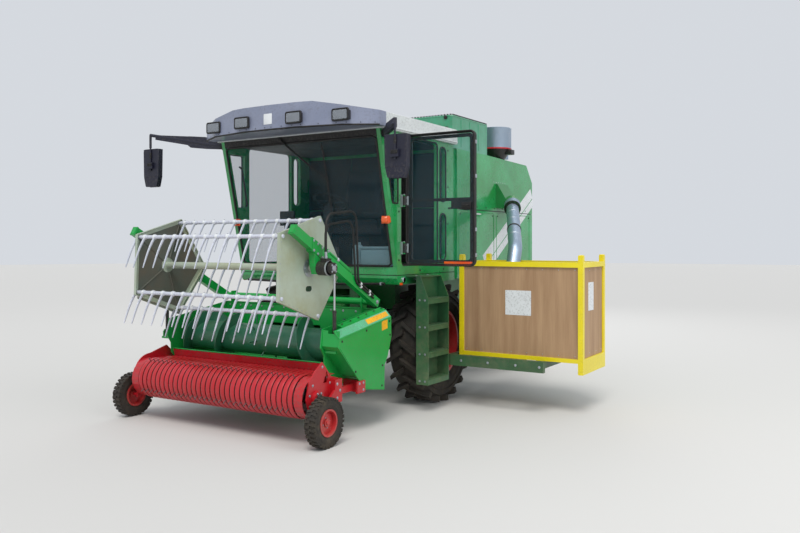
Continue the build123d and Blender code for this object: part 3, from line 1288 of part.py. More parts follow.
with BuildPart() as pickup_frame:
    for side in (-1, 1):
        plate = both(side, SIDE_PLATE_X, SIDE_PLATE_X + END_PLATE)
        side_slab(strip(BAND_LINE, BAND_SHEET), *both(side, HEADER_HALF, SIDE_PLATE_X))
        if side > 0:
            side_slab(shifted(LEFT_PLATE, PICKUP_Y, PICKUP_Z), *plate)
            side_slab(shifted(LEFT_CUT, PICKUP_Y, PICKUP_Z), *plate, mode=Mode.SUBTRACT)
        else:
            side_slab(shifted(RIGHT_PLATE, PICKUP_Y, PICKUP_Z), *plate)
            disc(*plate, PICKUP_Y + 45, PICKUP_Z + 30, 190)
        disc(*both(side, SIDE_PLATE_X, SIDE_PLATE_X + 42), PICKUP_Y, PICKUP_Z, 62)
        disc(
            *both(side, SIDE_PLATE_X, SIDE_PLATE_X + 42), PICKUP_Y, PICKUP_Z,
            ROTOR_SHAFT + RUNNING_FIT, mode=Mode.SUBTRACT,
        )
        arm_in = GAUGE_X - GAUGE_WIDTH / 2 - 39
        box_between(
            *both(side, SIDE_PLATE_X + END_PLATE, arm_in + 20), PICKUP_Y + 190,
            PICKUP_Y + 290, PICKUP_Z - 70, PICKUP_Z + 130,
        )
        side_slab(shifted(GAUGE_ARM, PICKUP_Y, PICKUP_Z), *both(side, arm_in, arm_in + 20))
        disc(*both(side, arm_in + 20, GAUGE_X + 30), GAUGE_Y, GAUGE_RADIUS, GAUGE_SHAFT)
        box_between(
            *both(side, SIDE_PLATE_X + 20, SIDE_PLATE_X + 50), PICKUP_Y + 288, AUGER_Y - 20,
            PICKUP_Z - 10, PICKUP_Z + 50,
        )
        box_between(
            *both(side, HEADER_HALF + END_PLATE, BOX_X - SHEET), *CROSS_Y, *CROSS_Z
        )
        side_slab(
            [
                (TABLE_Y + 38, PICKUP_Z - 84), (TABLE_Y + 38, PICKUP_Z - 18),
                (TROUGH_BEAM_Y[0], TROUGH_BEAM_Z[0] + 80), (TROUGH_BEAM_Y[0], TROUGH_BEAM_Z[0] + 20),
            ],
            *both(side, HEADER_HALF - 250, HEADER_HALF - 226),
        )
    box_between(
        BOX_X - SHEET, BOX_X + 14, CROSS_Y[0] - 60, CROSS_Y[1], CROSS_Z[0], CROSS_Z[0] + 22
    )
    box_between(BOX_X, BOX_X + 14, CROSS_Y[0] - 60, CROSS_Y[1], CROSS_Z[0], CROSS_Z[1])
    box_between(
        -SIDE_PLATE_X, SIDE_PLATE_X, TABLE_Y - 8, TABLE_Y + 40, PICKUP_Z - 90, PICKUP_Z - 10
    )
    side_slab(strip(TABLE_LINE, -6), -HEADER_HALF, HEADER_HALF)
pickup_frame.part.label = "pickup_frame"
export_step(pickup_frame.part, "parts/pickup_frame.step")

with BuildPart() as pickup_bands:
    with BuildSketch(
        *[Plane.YZ.offset(FIRST_BAND + BAND_PITCH * i - BAND_WIDTH / 2)
          for i in range(BAND_COUNT)]
    ) as bands:
        with BuildLine():
            Polyline(*strip(BAND_LINE, BAND_SHEET), close=True)
        make_face()
    extrude(bands.sketch, amount=BAND_WIDTH)
pickup_bands.part.label = "pickup_bands"
export_step(pickup_bands.part, "parts/pickup_bands.step")

ROTOR_BARS = 4
ROTOR_END = HEADER_HALF + 5
TINE_FOOT = 130.0
TINE_WIRE = 6.0
with BuildPart() as pickup_rotor:
    disc(-SIDE_PLATE_X - 20, SIDE_PLATE_X + 20, PICKUP_Y, PICKUP_Z, ROTOR_SHAFT)
    disc(-ROTOR_END, ROTOR_END, PICKUP_Y, PICKUP_Z, 60)
    for bar in range(ROTOR_BARS):
        turn = 360.0 * bar / ROTOR_BARS + 22
        middle = polar(PICKUP_Y, PICKUP_Z, TINE_FOOT - 34, turn)
        plane = Plane(
            origin=(-ROTOR_END, *middle), x_dir=(0, cos(radians(turn)), sin(radians(turn))),
            z_dir=(1, 0, 0),
        )
        with BuildSketch(plane) as bar_section:
            Rectangle(80, 16)
        extrude(bar_section.sketch, amount=2 * ROTOR_END)
        foot = polar(PICKUP_Y, PICKUP_Z, TINE_FOOT, turn)
        tine_planes = [
            Plane(
                origin=(FIRST_BAND + BAND_PITCH * (index + 0.5), *foot), x_dir=(1, 0, 0),
                z_dir=(0, cos(radians(turn + 14)), sin(radians(turn + 14))),
            )
            for index in range(BAND_COUNT - 1)
        ]
        with BuildSketch(*tine_planes) as tine_feet:
            Rectangle(TINE_WIRE, TINE_WIRE)
        extrude(tine_feet.sketch, amount=TINE_TIP - TINE_FOOT)
pickup_rotor.part.label = "pickup_rotor"
export_step(pickup_rotor.part, "parts/pickup_rotor.step")

# Feed auger: tube, two flights of opposite hand and fingers at the centre
FLIGHT_LENGTH = 640.0
FLIGHT_START = HEADER_HALF - 20 - FLIGHT_LENGTH
FINGER_COUNT = 8
with BuildPart() as auger:
    disc(-HEADER_HALF + MOVING_GAP, HEADER_HALF - MOVING_GAP, AUGER_Y, AUGER_Z, AUGER_TUBE)
    disc(-HEADER_HALF - 22, HEADER_HALF + 22, AUGER_Y, AUGER_Z, AUGER_SHAFT)
flight_parts = []
for hand in (1, -1):
    with BuildPart() as flight:
        with BuildLine() as helix_line:
            Helix(
                pitch=AUGER_PITCH, height=FLIGHT_LENGTH,
                radius=(AUGER_TUBE - 5 + AUGER_FLIGHT) / 2, lefthand=hand < 0,
            )
        with BuildSketch(
            Plane(origin=helix_line.line @ 0, x_dir=(1, 0, 0), z_dir=(0, 1, 0))
        ) as flight_section:
            Rectangle(AUGER_FLIGHT - AUGER_TUBE + 5, 8)
        sweep(flight_section.sketch, path=helix_line.line, is_frenet=True)
    turned = flight.part.rotate(Axis.Y, 90 * hand)
    flight_parts.append(turned.moved(Location((hand * FLIGHT_START, AUGER_Y, AUGER_Z))))
finger_parts = []
for index in range(FINGER_COUNT):
    turn = 360.0 * index / FINGER_COUNT
    offset = 60.0 * (index - (FINGER_COUNT - 1) / 2)
    base = polar(AUGER_Y, AUGER_Z, AUGER_TUBE - 10, turn)
    tip = polar(AUGER_Y, AUGER_Z, AUGER_FLIGHT - 4, turn)
    with BuildPart() as finger:
        rod((offset, *base), (offset, *tip), 8)
    finger_parts.append(finger.part)
full_auger = auger.part + flight_parts + finger_parts
full_auger.label = "auger"
export_step(full_auger, "parts/auger.step")

# Reel arms with their hanging bearing brackets, cross tube and the eccentric boss
ARM_SLOPE = (ARM_FRONT_Z - ARM_PIVOT_Z) / (ARM_FRONT_Y - ARM_PIVOT_Y)


def arm_z(y):
    """Return the height of the arm's centre line at a station y."""
    return ARM_PIVOT_Z + ARM_SLOPE * (y - ARM_PIVOT_Y)


EAR_OUT = ARM_X + ARM_HALF + 20
SHIFT_TOP = ARM_HEIGHT / 2 + 40
SHIFT_ENDS = (REEL_Y + 150, REEL_Y + 470)
with BuildPart() as reel_arms:
    disc(-ARM_X - ARM_HALF, ARM_X + ARM_HALF, ARM_PIVOT_Y, ARM_PIVOT_Z, ARM_TUBE)
    for side in (-1, 1):
        beam(
            (side * ARM_X, ARM_PIVOT_Y + 30, arm_z(ARM_PIVOT_Y + 30)),
            (side * ARM_X, ARM_FRONT_Y, ARM_FRONT_Z), 2 * ARM_HALF, ARM_HEIGHT,
        )
        bracket = both(side, ARM_X - ARM_HALF, ARM_X + ARM_HALF)
        side_slab(
            [
                (REEL_Y - 80, arm_z(REEL_Y - 80)), (REEL_Y + 90, arm_z(REEL_Y + 90)),
                (REEL_Y + 66, REEL_Z + 20), (REEL_Y + 40, REEL_Z - 50),
                (REEL_Y - 40, REEL_Z - 50), (REEL_Y - 66, REEL_Z + 20),
            ],
            *bracket,
        )
        saddle = both(side, ARM_X - ARM_HALF - 5, ARM_X + ARM_HALF + 5)
        side_slab(
            [
                (REEL_Y - 105, arm_z(REEL_Y - 105) - 58), (REEL_Y - 105, arm_z(REEL_Y - 105) + 58),
                (REEL_Y + 105, arm_z(REEL_Y + 105) + 58), (REEL_Y + 105, arm_z(REEL_Y + 105) - 58),
            ],
            *saddle,
        )
        for y in SHIFT_ENDS:
            side_slab(
                [(y - 16, arm_z(y) + 30), (y - 12, arm_z(y) + SHIFT_TOP + 18),
                 (y + 12, arm_z(y) + SHIFT_TOP + 18), (y + 16, arm_z(y) + 30)],
                *both(side, ARM_X - 10, ARM_X + 10),
            )
        front, rear = SHIFT_ENDS
        rod((side * ARM_X, front, arm_z(front) + SHIFT_TOP),
            (side * ARM_X, rear, arm_z(rear) + SHIFT_TOP), 10)
        middle = front + 140
        rod((side * ARM_X, middle, arm_z(middle) + SHIFT_TOP),
            (side * ARM_X, rear, arm_z(rear) + SHIFT_TOP), 19)
        ear = both(side, ARM_X + ARM_HALF, EAR_OUT)
        eye_y, eye_z = REEL_LIFT_EYE
        side_slab(
            [(eye_y - 40, arm_z(eye_y - 40)), (eye_y + 40, arm_z(eye_y + 40)),
             (eye_y + 24, eye_z - 24), (eye_y - 24, eye_z - 24)],
            *ear,
        )
        disc(*both(side, EAR_OUT, REEL_LIFT_X - 18.5), eye_y, eye_z, 22)
        disc(*both(side, EAR_OUT, REEL_LIFT_X + 25), eye_y, eye_z, PIN - PIN_SLACK)
    disc(
        -ARM_X + ARM_HALF, -REEL_HALF - 22, REEL_Y + ECCENTRIC_Y, REEL_Z + ECCENTRIC_Z,
        BOSS_RADIUS,
    )
    disc(-EAR_OUT, EAR_OUT, REEL_Y, REEL_Z, SHAFT_RADIUS + RUNNING_FIT, mode=Mode.SUBTRACT)
reel_arms.part.label = "reel_arms"
export_step(reel_arms.part, "parts/reel_arms.step")

MOTOR_IN = ARM_X + ARM_HALF
MOTOR_OUT = MOTOR_IN + 150
with BuildPart() as reel_motor:
    disc(MOTOR_IN, MOTOR_OUT - 40, REEL_Y, REEL_Z, 62)
    disc(MOTOR_OUT - 40, MOTOR_OUT, REEL_Y, REEL_Z, 50)
    disc(MOTOR_IN, MOTOR_IN + 30, REEL_Y, REEL_Z, SHAFT_RADIUS + RUNNING_FIT,
         mode=Mode.SUBTRACT)
    box_between(
        MOTOR_IN + 30, MOTOR_IN + 95, REEL_Y - 34, REEL_Y + 36, REEL_Z + 45, REEL_Z + 84
    )
reel_motor.part.label = "reel_motor"
export_step(reel_motor.part, "parts/reel_motor.step")

# Two hoses from the motor over to the outer face of the left arm: start x, start y, height
# of the loop, far side of the loop, place and height on the arm, bend radius
HOSE_RADIUS = 10.0
HOSE_X = ARM_X + ARM_HALF + HOSE_RADIUS + RUNNING_FIT
HOSE_END_Y = ARM_PIVOT_Y - 80
HOSES = (
    (MOTOR_IN + 65, REEL_Y, REEL_Z + 460, REEL_Y + 477, REEL_Y + 557, 26.0, 110.0),
    (MOTOR_IN + 45, REEL_Y + 20, REEL_Z + 370, REEL_Y + 447, REEL_Y + 517, -2.0, 100.0),
)
hose_parts = []
for start_x, start_y, loop_z, loop_y, arm_y, rise, bend in HOSES:
    route = (
        (start_x, start_y, REEL_Z + 84), (start_x, start_y, loop_z),
        (start_x - 22, loop_y, loop_z + 48), (HOSE_X, arm_y, arm_z(arm_y) + rise),
        (HOSE_X, HOSE_END_Y, arm_z(HOSE_END_Y) + rise),
    )
    with BuildPart() as hose:
        with BuildLine() as hose_line:
            FilletPolyline(*route, radius=bend)
        with BuildSketch(Plane(origin=route[0], z_dir=hose_line.line % 0)) as hose_section:
            Circle(HOSE_RADIUS)
        sweep(hose_section.sketch, path=hose_line.line)
    hose_parts.append(hose.part)
reel_hose = Compound(children=hose_parts)
reel_hose.label = "reel_hose"
export_step(reel_hose, "parts/reel_hose.step")

# Reel centre: tube, shaft and the two pentagon end plates, rims folded inwards, with a slot
# below the axis and bores for the tine bars
REEL_FOLD = 20.0
with BuildPart() as reel_core:
    for side in (-1, 1):
        rim = both(side, REEL_HALF - REEL_PLATE - REEL_FOLD, REEL_HALF)
        hollow = both(side, REEL_HALF - REEL_PLATE - REEL_FOLD, REEL_HALF - REEL_PLATE)
        side_slab([polar(REEL_Y, REEL_Z, PLATE_RADIUS, angle) for angle in BAT_ANGLES], *rim)
        side_slab([polar(REEL_Y, REEL_Z, PLATE_RADIUS - 7, angle) for angle in BAT_ANGLES],
                  *hollow, mode=Mode.SUBTRACT)
    disc(-ARM_X - 20, MOTOR_IN + 20, REEL_Y, REEL_Z, SHAFT_RADIUS)
    disc(-REEL_HALF, REEL_HALF, REEL_Y, REEL_Z, REEL_TUBE)
    for x0 in (-REEL_HALF, REEL_HALF - REEL_PLATE):
        disc(x0 - 2, x0 + REEL_PLATE + 2, REEL_Y, REEL_Z, REEL_TUBE + 40)
        with BuildSketch(Plane.YZ.offset(x0 - 3)) as slot:
            with Locations((REEL_Y, REEL_Z - 180)):
                RectangleRounded(90, 48, 23)
        extrude(slot.sketch, amount=REEL_PLATE + 6, mode=Mode.SUBTRACT)
    for angle in BAT_ANGLES:
        disc(-REEL_HALF - 1, REEL_HALF + 1, *polar(REEL_Y, REEL_Z, REEL_RADIUS, angle),
             BAT_RADIUS + RUNNING_FIT, mode=Mode.SUBTRACT)
reel_core.part.label = "reel_core"
export_step(reel_core.part, "parts/reel_core.step")

# Bats: a tine bar with collars, its row of bent tines and the crank that keeps them upright
TINE_LINE = [(6, 0), (-25, -60), (-75, -150), (-110, -230), (-138, -282)]
TINE_SHEET = 8.0
TINE_EDGE = 90.0
TINE_STEP = 2 * (REEL_HALF - TINE_EDGE) / (TINES_PER_BAT - 1)
TINE_ROWS = [-REEL_HALF + TINE_EDGE + i * TINE_STEP for i in range(TINES_PER_BAT)]
CRANK_IN = -REEL_HALF - 7
CRANK_SHEET = 8.0
for number, angle in enumerate(BAT_ANGLES, start=1):
    y, z = polar(REEL_Y, REEL_Z, REEL_RADIUS, angle)
    crank = (y + ECCENTRIC_Y, z + ECCENTRIC_Z)
    with BuildPart() as reel_bat:
        disc(CRANK_IN - CRANK_SHEET, REEL_HALF + 10, y, z, BAT_RADIUS)
        with BuildSketch(
            *[Plane.YZ.offset(x) for x in [CRANK_IN - CRANK_SHEET] + TINE_ROWS]
        ) as tine_profile:
            with BuildLine():
                Polyline(*strip(shifted(TINE_LINE, y, z), TINE_SHEET), close=True)
            make_face()
        extrude(tine_profile.sketch, amount=TINE_SHEET)
        with BuildSketch(*[Plane.YZ.offset(x - 7) for x in TINE_ROWS]) as collars:
            with Locations((y, z)):
                Circle(BAT_RADIUS + 6)
        extrude(collars.sketch, amount=22)
        beam((CRANK_IN - CRANK_SHEET / 2, y, z), (CRANK_IN - CRANK_SHEET / 2, *crank),
             CRANK_SHEET, 30)
        disc(CRANK_IN - CRANK_SHEET, CRANK_IN, y, z, BAT_RADIUS + 7)
        disc(CRANK_IN - 30, CRANK_IN, *crank, CRANK_PIN)
    reel_bat.part.label = f"reel_bat_{number}"
    export_step(reel_bat.part, f"parts/reel_bat_{number}.step")

# Eccentric ring that holds the tines at a steady angle
RING_Y = REEL_Y + ECCENTRIC_Y
RING_Z = REEL_Z + ECCENTRIC_Z
RING_X = CRANK_IN - CRANK_SHEET - MOVING_GAP
RING_SHEET = 8.0
with BuildPart() as reel_ring:
    side_slab([polar(RING_Y, RING_Z, REEL_RADIUS + 30, angle) for angle in BAT_ANGLES],
              RING_X - RING_SHEET, RING_X)
    side_slab([polar(RING_Y, RING_Z, REEL_RADIUS - 50, angle) for angle in BAT_ANGLES],
              RING_X - RING_SHEET, RING_X, mode=Mode.SUBTRACT)
    for angle in BAT_ANGLES:
        beam((RING_X - RING_SHEET / 2, *polar(RING_Y, RING_Z, BOSS_RADIUS + 12, angle)),
             (RING_X - RING_SHEET / 2, *polar(RING_Y, RING_Z, REEL_RADIUS - 25, angle)),
             RING_SHEET, 44)
    disc(RING_X - RING_SHEET, RING_X, RING_Y, RING_Z, BOSS_RADIUS + 26)
    disc(RING_X - RING_SHEET - 1, RING_X + 1, RING_Y, RING_Z, BOSS_RADIUS + RUNNING_FIT,
         mode=Mode.SUBTRACT)
    for angle in BAT_ANGLES:
        disc(RING_X - RING_SHEET - 1, RING_X + 1, *polar(RING_Y, RING_Z, REEL_RADIUS, angle),
             CRANK_PIN + RUNNING_FIT, mode=Mode.SUBTRACT)
reel_ring.part.label = "reel_ring"
export_step(reel_ring.part, "parts/reel_ring.step")

# Lift cylinders: name, half spacing, base (y, z), eye (y, z), barrel radius, rod radius, eye
# radius, and the barrel's mouth and the rod's foot as shares of the distance between pins
CYLINDERS = (
    ("header", LIFT_X, LIFT_BASE, LIFT_EYE, 38.0, 17.0, 27.0, 0.606, 0.379),
    ("reel", REEL_LIFT_X, REEL_LIFT_BASE, REEL_LIFT_EYE, 17.0, 9.0, 21.0, 0.45, 0.132),
)
for name, half, base, eye, barrel_r, rod_r, eye_r, mouth_share, foot_share in CYLINDERS:
    run = hypot(eye[0] - base[0], eye[1] - base[1])
    lean = ((eye[0] - base[0]) / run, (eye[1] - base[1]) / run)
    mouth = (base[0] + lean[0] * run * mouth_share, base[1] + lean[1] * run * mouth_share)
    foot = (base[0] + lean[0] * (barrel_r + 6), base[1] + lean[1] * (barrel_r + 6))
    inner = (base[0] + lean[0] * (barrel_r + 26), base[1] + lean[1] * (barrel_r + 26))
    with BuildPart() as barrels:
        for side in (-1, 1):
            x = side * half
            rod((x, *foot), (x, *mouth), barrel_r)
            rod((x, *inner), (x, *mouth), rod_r + RUNNING_FIT, mode=Mode.SUBTRACT)
            disc(x - 16, x + 16, *base, eye_r - 1)
            beam((x, *base), (x, *foot), 30, barrel_r)
            disc(x - 30, x + 30, *base, PIN)
    barrels.part.label = f"{name}_barrels"
    export_step(barrels.part, f"parts/{name}_barrels.step")
    rod_foot = (base[0] + lean[0] * run * foot_share, base[1] + lean[1] * run * foot_share)
    with BuildPart() as rods:
        for side in (-1, 1):
            x = side * half
            rod((x, *rod_foot), (x, eye[0] - lean[0] * 18, eye[1] - lean[1] * 18), rod_r)
            disc(x - 18, x + 18, *eye, eye_r)
            disc(x - 19, x + 19, *eye, PIN, mode=Mode.SUBTRACT)
    rods.part.label = f"{name}_rods"
    export_step(rods.part, f"parts/{name}_rods.step")
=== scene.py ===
"""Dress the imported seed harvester: finishes, small fittings, seat, tines, lamps and studio."""

import json
import logging
import math
from dataclasses import dataclass, field
from enum import Enum
from typing import Sequence

import bmesh
import bpy
from mathutils import Matrix, Vector

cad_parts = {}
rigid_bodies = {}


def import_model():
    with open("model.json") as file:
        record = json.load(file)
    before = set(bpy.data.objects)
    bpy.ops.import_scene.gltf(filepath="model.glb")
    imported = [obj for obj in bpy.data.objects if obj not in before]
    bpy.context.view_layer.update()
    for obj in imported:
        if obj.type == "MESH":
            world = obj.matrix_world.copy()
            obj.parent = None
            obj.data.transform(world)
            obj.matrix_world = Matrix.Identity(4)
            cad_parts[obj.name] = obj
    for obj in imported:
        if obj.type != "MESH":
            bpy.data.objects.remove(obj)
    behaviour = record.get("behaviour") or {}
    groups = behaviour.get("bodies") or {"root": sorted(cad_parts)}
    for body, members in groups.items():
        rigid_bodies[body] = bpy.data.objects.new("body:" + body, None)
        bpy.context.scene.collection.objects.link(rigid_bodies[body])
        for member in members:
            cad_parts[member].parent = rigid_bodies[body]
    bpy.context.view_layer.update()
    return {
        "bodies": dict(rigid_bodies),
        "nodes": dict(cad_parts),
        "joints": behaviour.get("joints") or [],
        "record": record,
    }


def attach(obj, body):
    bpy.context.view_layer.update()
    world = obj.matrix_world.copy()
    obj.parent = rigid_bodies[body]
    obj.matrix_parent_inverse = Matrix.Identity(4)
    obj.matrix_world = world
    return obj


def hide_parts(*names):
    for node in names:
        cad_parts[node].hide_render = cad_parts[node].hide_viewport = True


LOG = logging.getLogger("harvester")
Point = Sequence[float]
Colour = tuple[float, float, float, float]
Socket = bpy.types.NodeSocket
Given = bpy.types.bpy_prop_collection
Part = bpy.types.Object

SIDES = (-1, 1)
LEFT = (1, 0, 0)
RIGHT = (-1, 0, 0)
AHEAD = (0, -1, 0)
UP = (0, 0, 1)

SMALL_RIVET = ((-0.001, 0.005), (0.002, 0.004), (0.003, 0.0))
PLATE_RIVET = ((-0.001, 0.0055), (0.002, 0.0045), (0.0028, 0.0))
ROUND_SCREW = ((-0.001, 0.006), (0.002, 0.005), (0.003, 0.0))
FLAT_SCREW = ((-0.001, 0.006), (0.0015, 0.005), (0.002, 0.0))
TREAD_STUD = ((-0.001, 0.009), (0.003, 0.008), (0.004, 0.004))
HEAD_STEPS = 8


class Axis(Enum):
    """A main direction of the machine's frame."""

    X = 0
    Y = 1
    Z = 2


class Effect(Enum):
    """Which shared node group gives a finish its surface."""

    WEATHER = "weather"
    VENEER = "veneer"
    WEAVE = "weave"
    ROLLED = "rolled"


def srgb(code: str, alpha: float = 1.0) -> Colour:
    """Turn a hex colour into linear values.

    Args:
        code: Six hex digits, without a hash.
        alpha: Opacity.

    Returns:
        The linear colour with its alpha.
    """
    parts = [int(code[i : i + 2], 16) / 255 for i in (0, 2, 4)]
    linear = [c / 12.92 if c <= 0.04045 else ((c + 0.055) / 1.055) ** 2.4 for c in parts]
    return (*linear, alpha)


class NodeGroup:
    """A small wrapper that builds a shader node group with named sockets."""

    def __init__(self, name: str) -> None:
        """Start an empty group with its input and output nodes."""
        self.tree = bpy.data.node_groups.new(name, "ShaderNodeTree")
        self.start = self.tree.nodes.new("NodeGroupInput")
        self.end = self.tree.nodes.new("NodeGroupOutput")

    def sockets(self, inputs: dict[str, Colour | float], outputs: Sequence[str]) -> Given:
        """Name the group's inputs and outputs.

        Args:
            inputs: Names and defaults; a default of four values is a colour.
            outputs: Names; the one called Color is a colour.

        Returns:
            What the group is given, by name.
        """
        named = [("INPUT", name, isinstance(value, tuple)) for name, value in inputs.items()]
        named += [("OUTPUT", name, name == "Color") for name in outputs]
        for way, name, colour in named:
            kind = "NodeSocketColor" if colour else "NodeSocketFloat"
            made = self.tree.interface.new_socket(name=name, in_out=way, socket_type=kind)
            if way == "INPUT":
                made.default_value = inputs[name]
        return self.start.outputs

    def node(self, kind: str, **values: object) -> bpy.types.Node:
        """Add a node to the group, as add_node does."""
        return add_node(self.tree, kind, **values)

    def link(self, source: Socket, target: Socket) -> None:
        """Join two sockets."""
        self.tree.links.new(source, target)

    def place(self) -> Socket:
        """Return the socket of the piece's own coordinates."""
        return self.node("TexCoord").outputs["Object"]

    def fed(self, kind: str, source: Socket, target: str | int, output: str | int,
            **values: object) -> Socket:
        """Add a node that one socket feeds.

        Args:
            kind: Node type without the ShaderNode prefix.
            source: The socket that feeds the node.
            target: The node's input that it feeds.
            output: The node's output that is wanted.
            **values: Attributes, and in_NAME or in_NUMBER inputs.

        Returns:
            The socket of the wanted output.
        """
        made = self.node(kind, **values)
        self.link(source, made.inputs[target])
        return made.outputs[output]

    def stretched(self, place: Socket, scale: Point) -> Socket:
        """Return coordinates scaled along each axis."""
        return self.fed("Mapping", place, "Vector", 0, in_Scale=scale)

    def noise(self, place: Socket, scale: float, detail: float) -> Socket:
        """Return the factor of a noise texture on coordinates."""
        return self.fed("TexNoise", place, "Vector", "Fac", in_Scale=scale, in_Detail=detail,
                        in_Roughness=0.6)

    def ramp(self, source: Socket, low: float, high: float) -> Socket:
        """Return a factor mapped so that low becomes 0 and high becomes 1."""
        return self.fed("MapRange", source, "Value", "Result", in_1=low, in_2=high, clamp=True)

    def plus(self, first: Socket, second: Socket | float) -> Socket:
        """Add a socket or number to a socket, held between 0 and 1."""
        return self.combine("ADD", first, second)

    def times(self, first: Socket, second: Socket | float) -> Socket:
        """Multiply a socket by a socket or number, held between 0 and 1."""
        return self.combine("MULTIPLY", first, second)

    def combine(self, operation: str, first: Socket, second: Socket | float) -> Socket:
        """Combine a socket with a socket or number, held between 0 and 1.

        Args:
            operation: Operation of the Math node.
            first: First socket.
            second: Second socket or number.

        Returns:
            The socket of the result.
        """
        node = self.node("Math", operation=operation, use_clamp=True)
        self.link(first, node.inputs[0])
        if isinstance(second, (int, float)):
            node.inputs[1].default_value = second
        else:
            self.link(second, node.inputs[1])
        return node.outputs[0]

    def blend(self, share: Socket, first: Socket, second: Socket) -> Socket:
        """Mix two colours.

        Args:
            share: Socket of the second colour's share.
            first: Socket of the first colour.
            second: Socket of the second colour.

        Returns:
            The socket of the mixed colour.
        """
        mix = self.node("Mix", data_type="RGBA")
        for index, source in ((0, share), (6, first), (7, second)):
            self.link(source, mix.inputs[index])
        return mix.outputs[2]


def add_node(tree: bpy.types.NodeTree, kind: str, **values: object) -> bpy.types.Node:
    """Add a node to a tree.

    Args:
        tree: The tree that gets the node.
        kind: Node type without the ShaderNode prefix.
        **values: Attributes, and in_NAME or in_NUMBER inputs.

    Returns:
        The new node.
    """
    node = tree.nodes.new(f"ShaderNode{kind}")
    for key, value in values.items():
        if key.startswith("in_"):
            name = key[3:]
            node.inputs[int(name) if name.isdigit() else name].default_value = value
        else:
            setattr(node, key, value)
    return node


def new_material(name: str) -> tuple[bpy.types.Material, bpy.types.NodeTree, bpy.types.Node]:
    """Start a material.

    Args:
        name: Name of the material.

    Returns:
        The material, its node tree and its Principled shader.
    """
    material = bpy.data.materials.new(name)
    material.use_nodes = True
    tree = material.node_tree
    return material, tree, next(node for node in tree.nodes if node.type == "BSDF_PRINCIPLED")


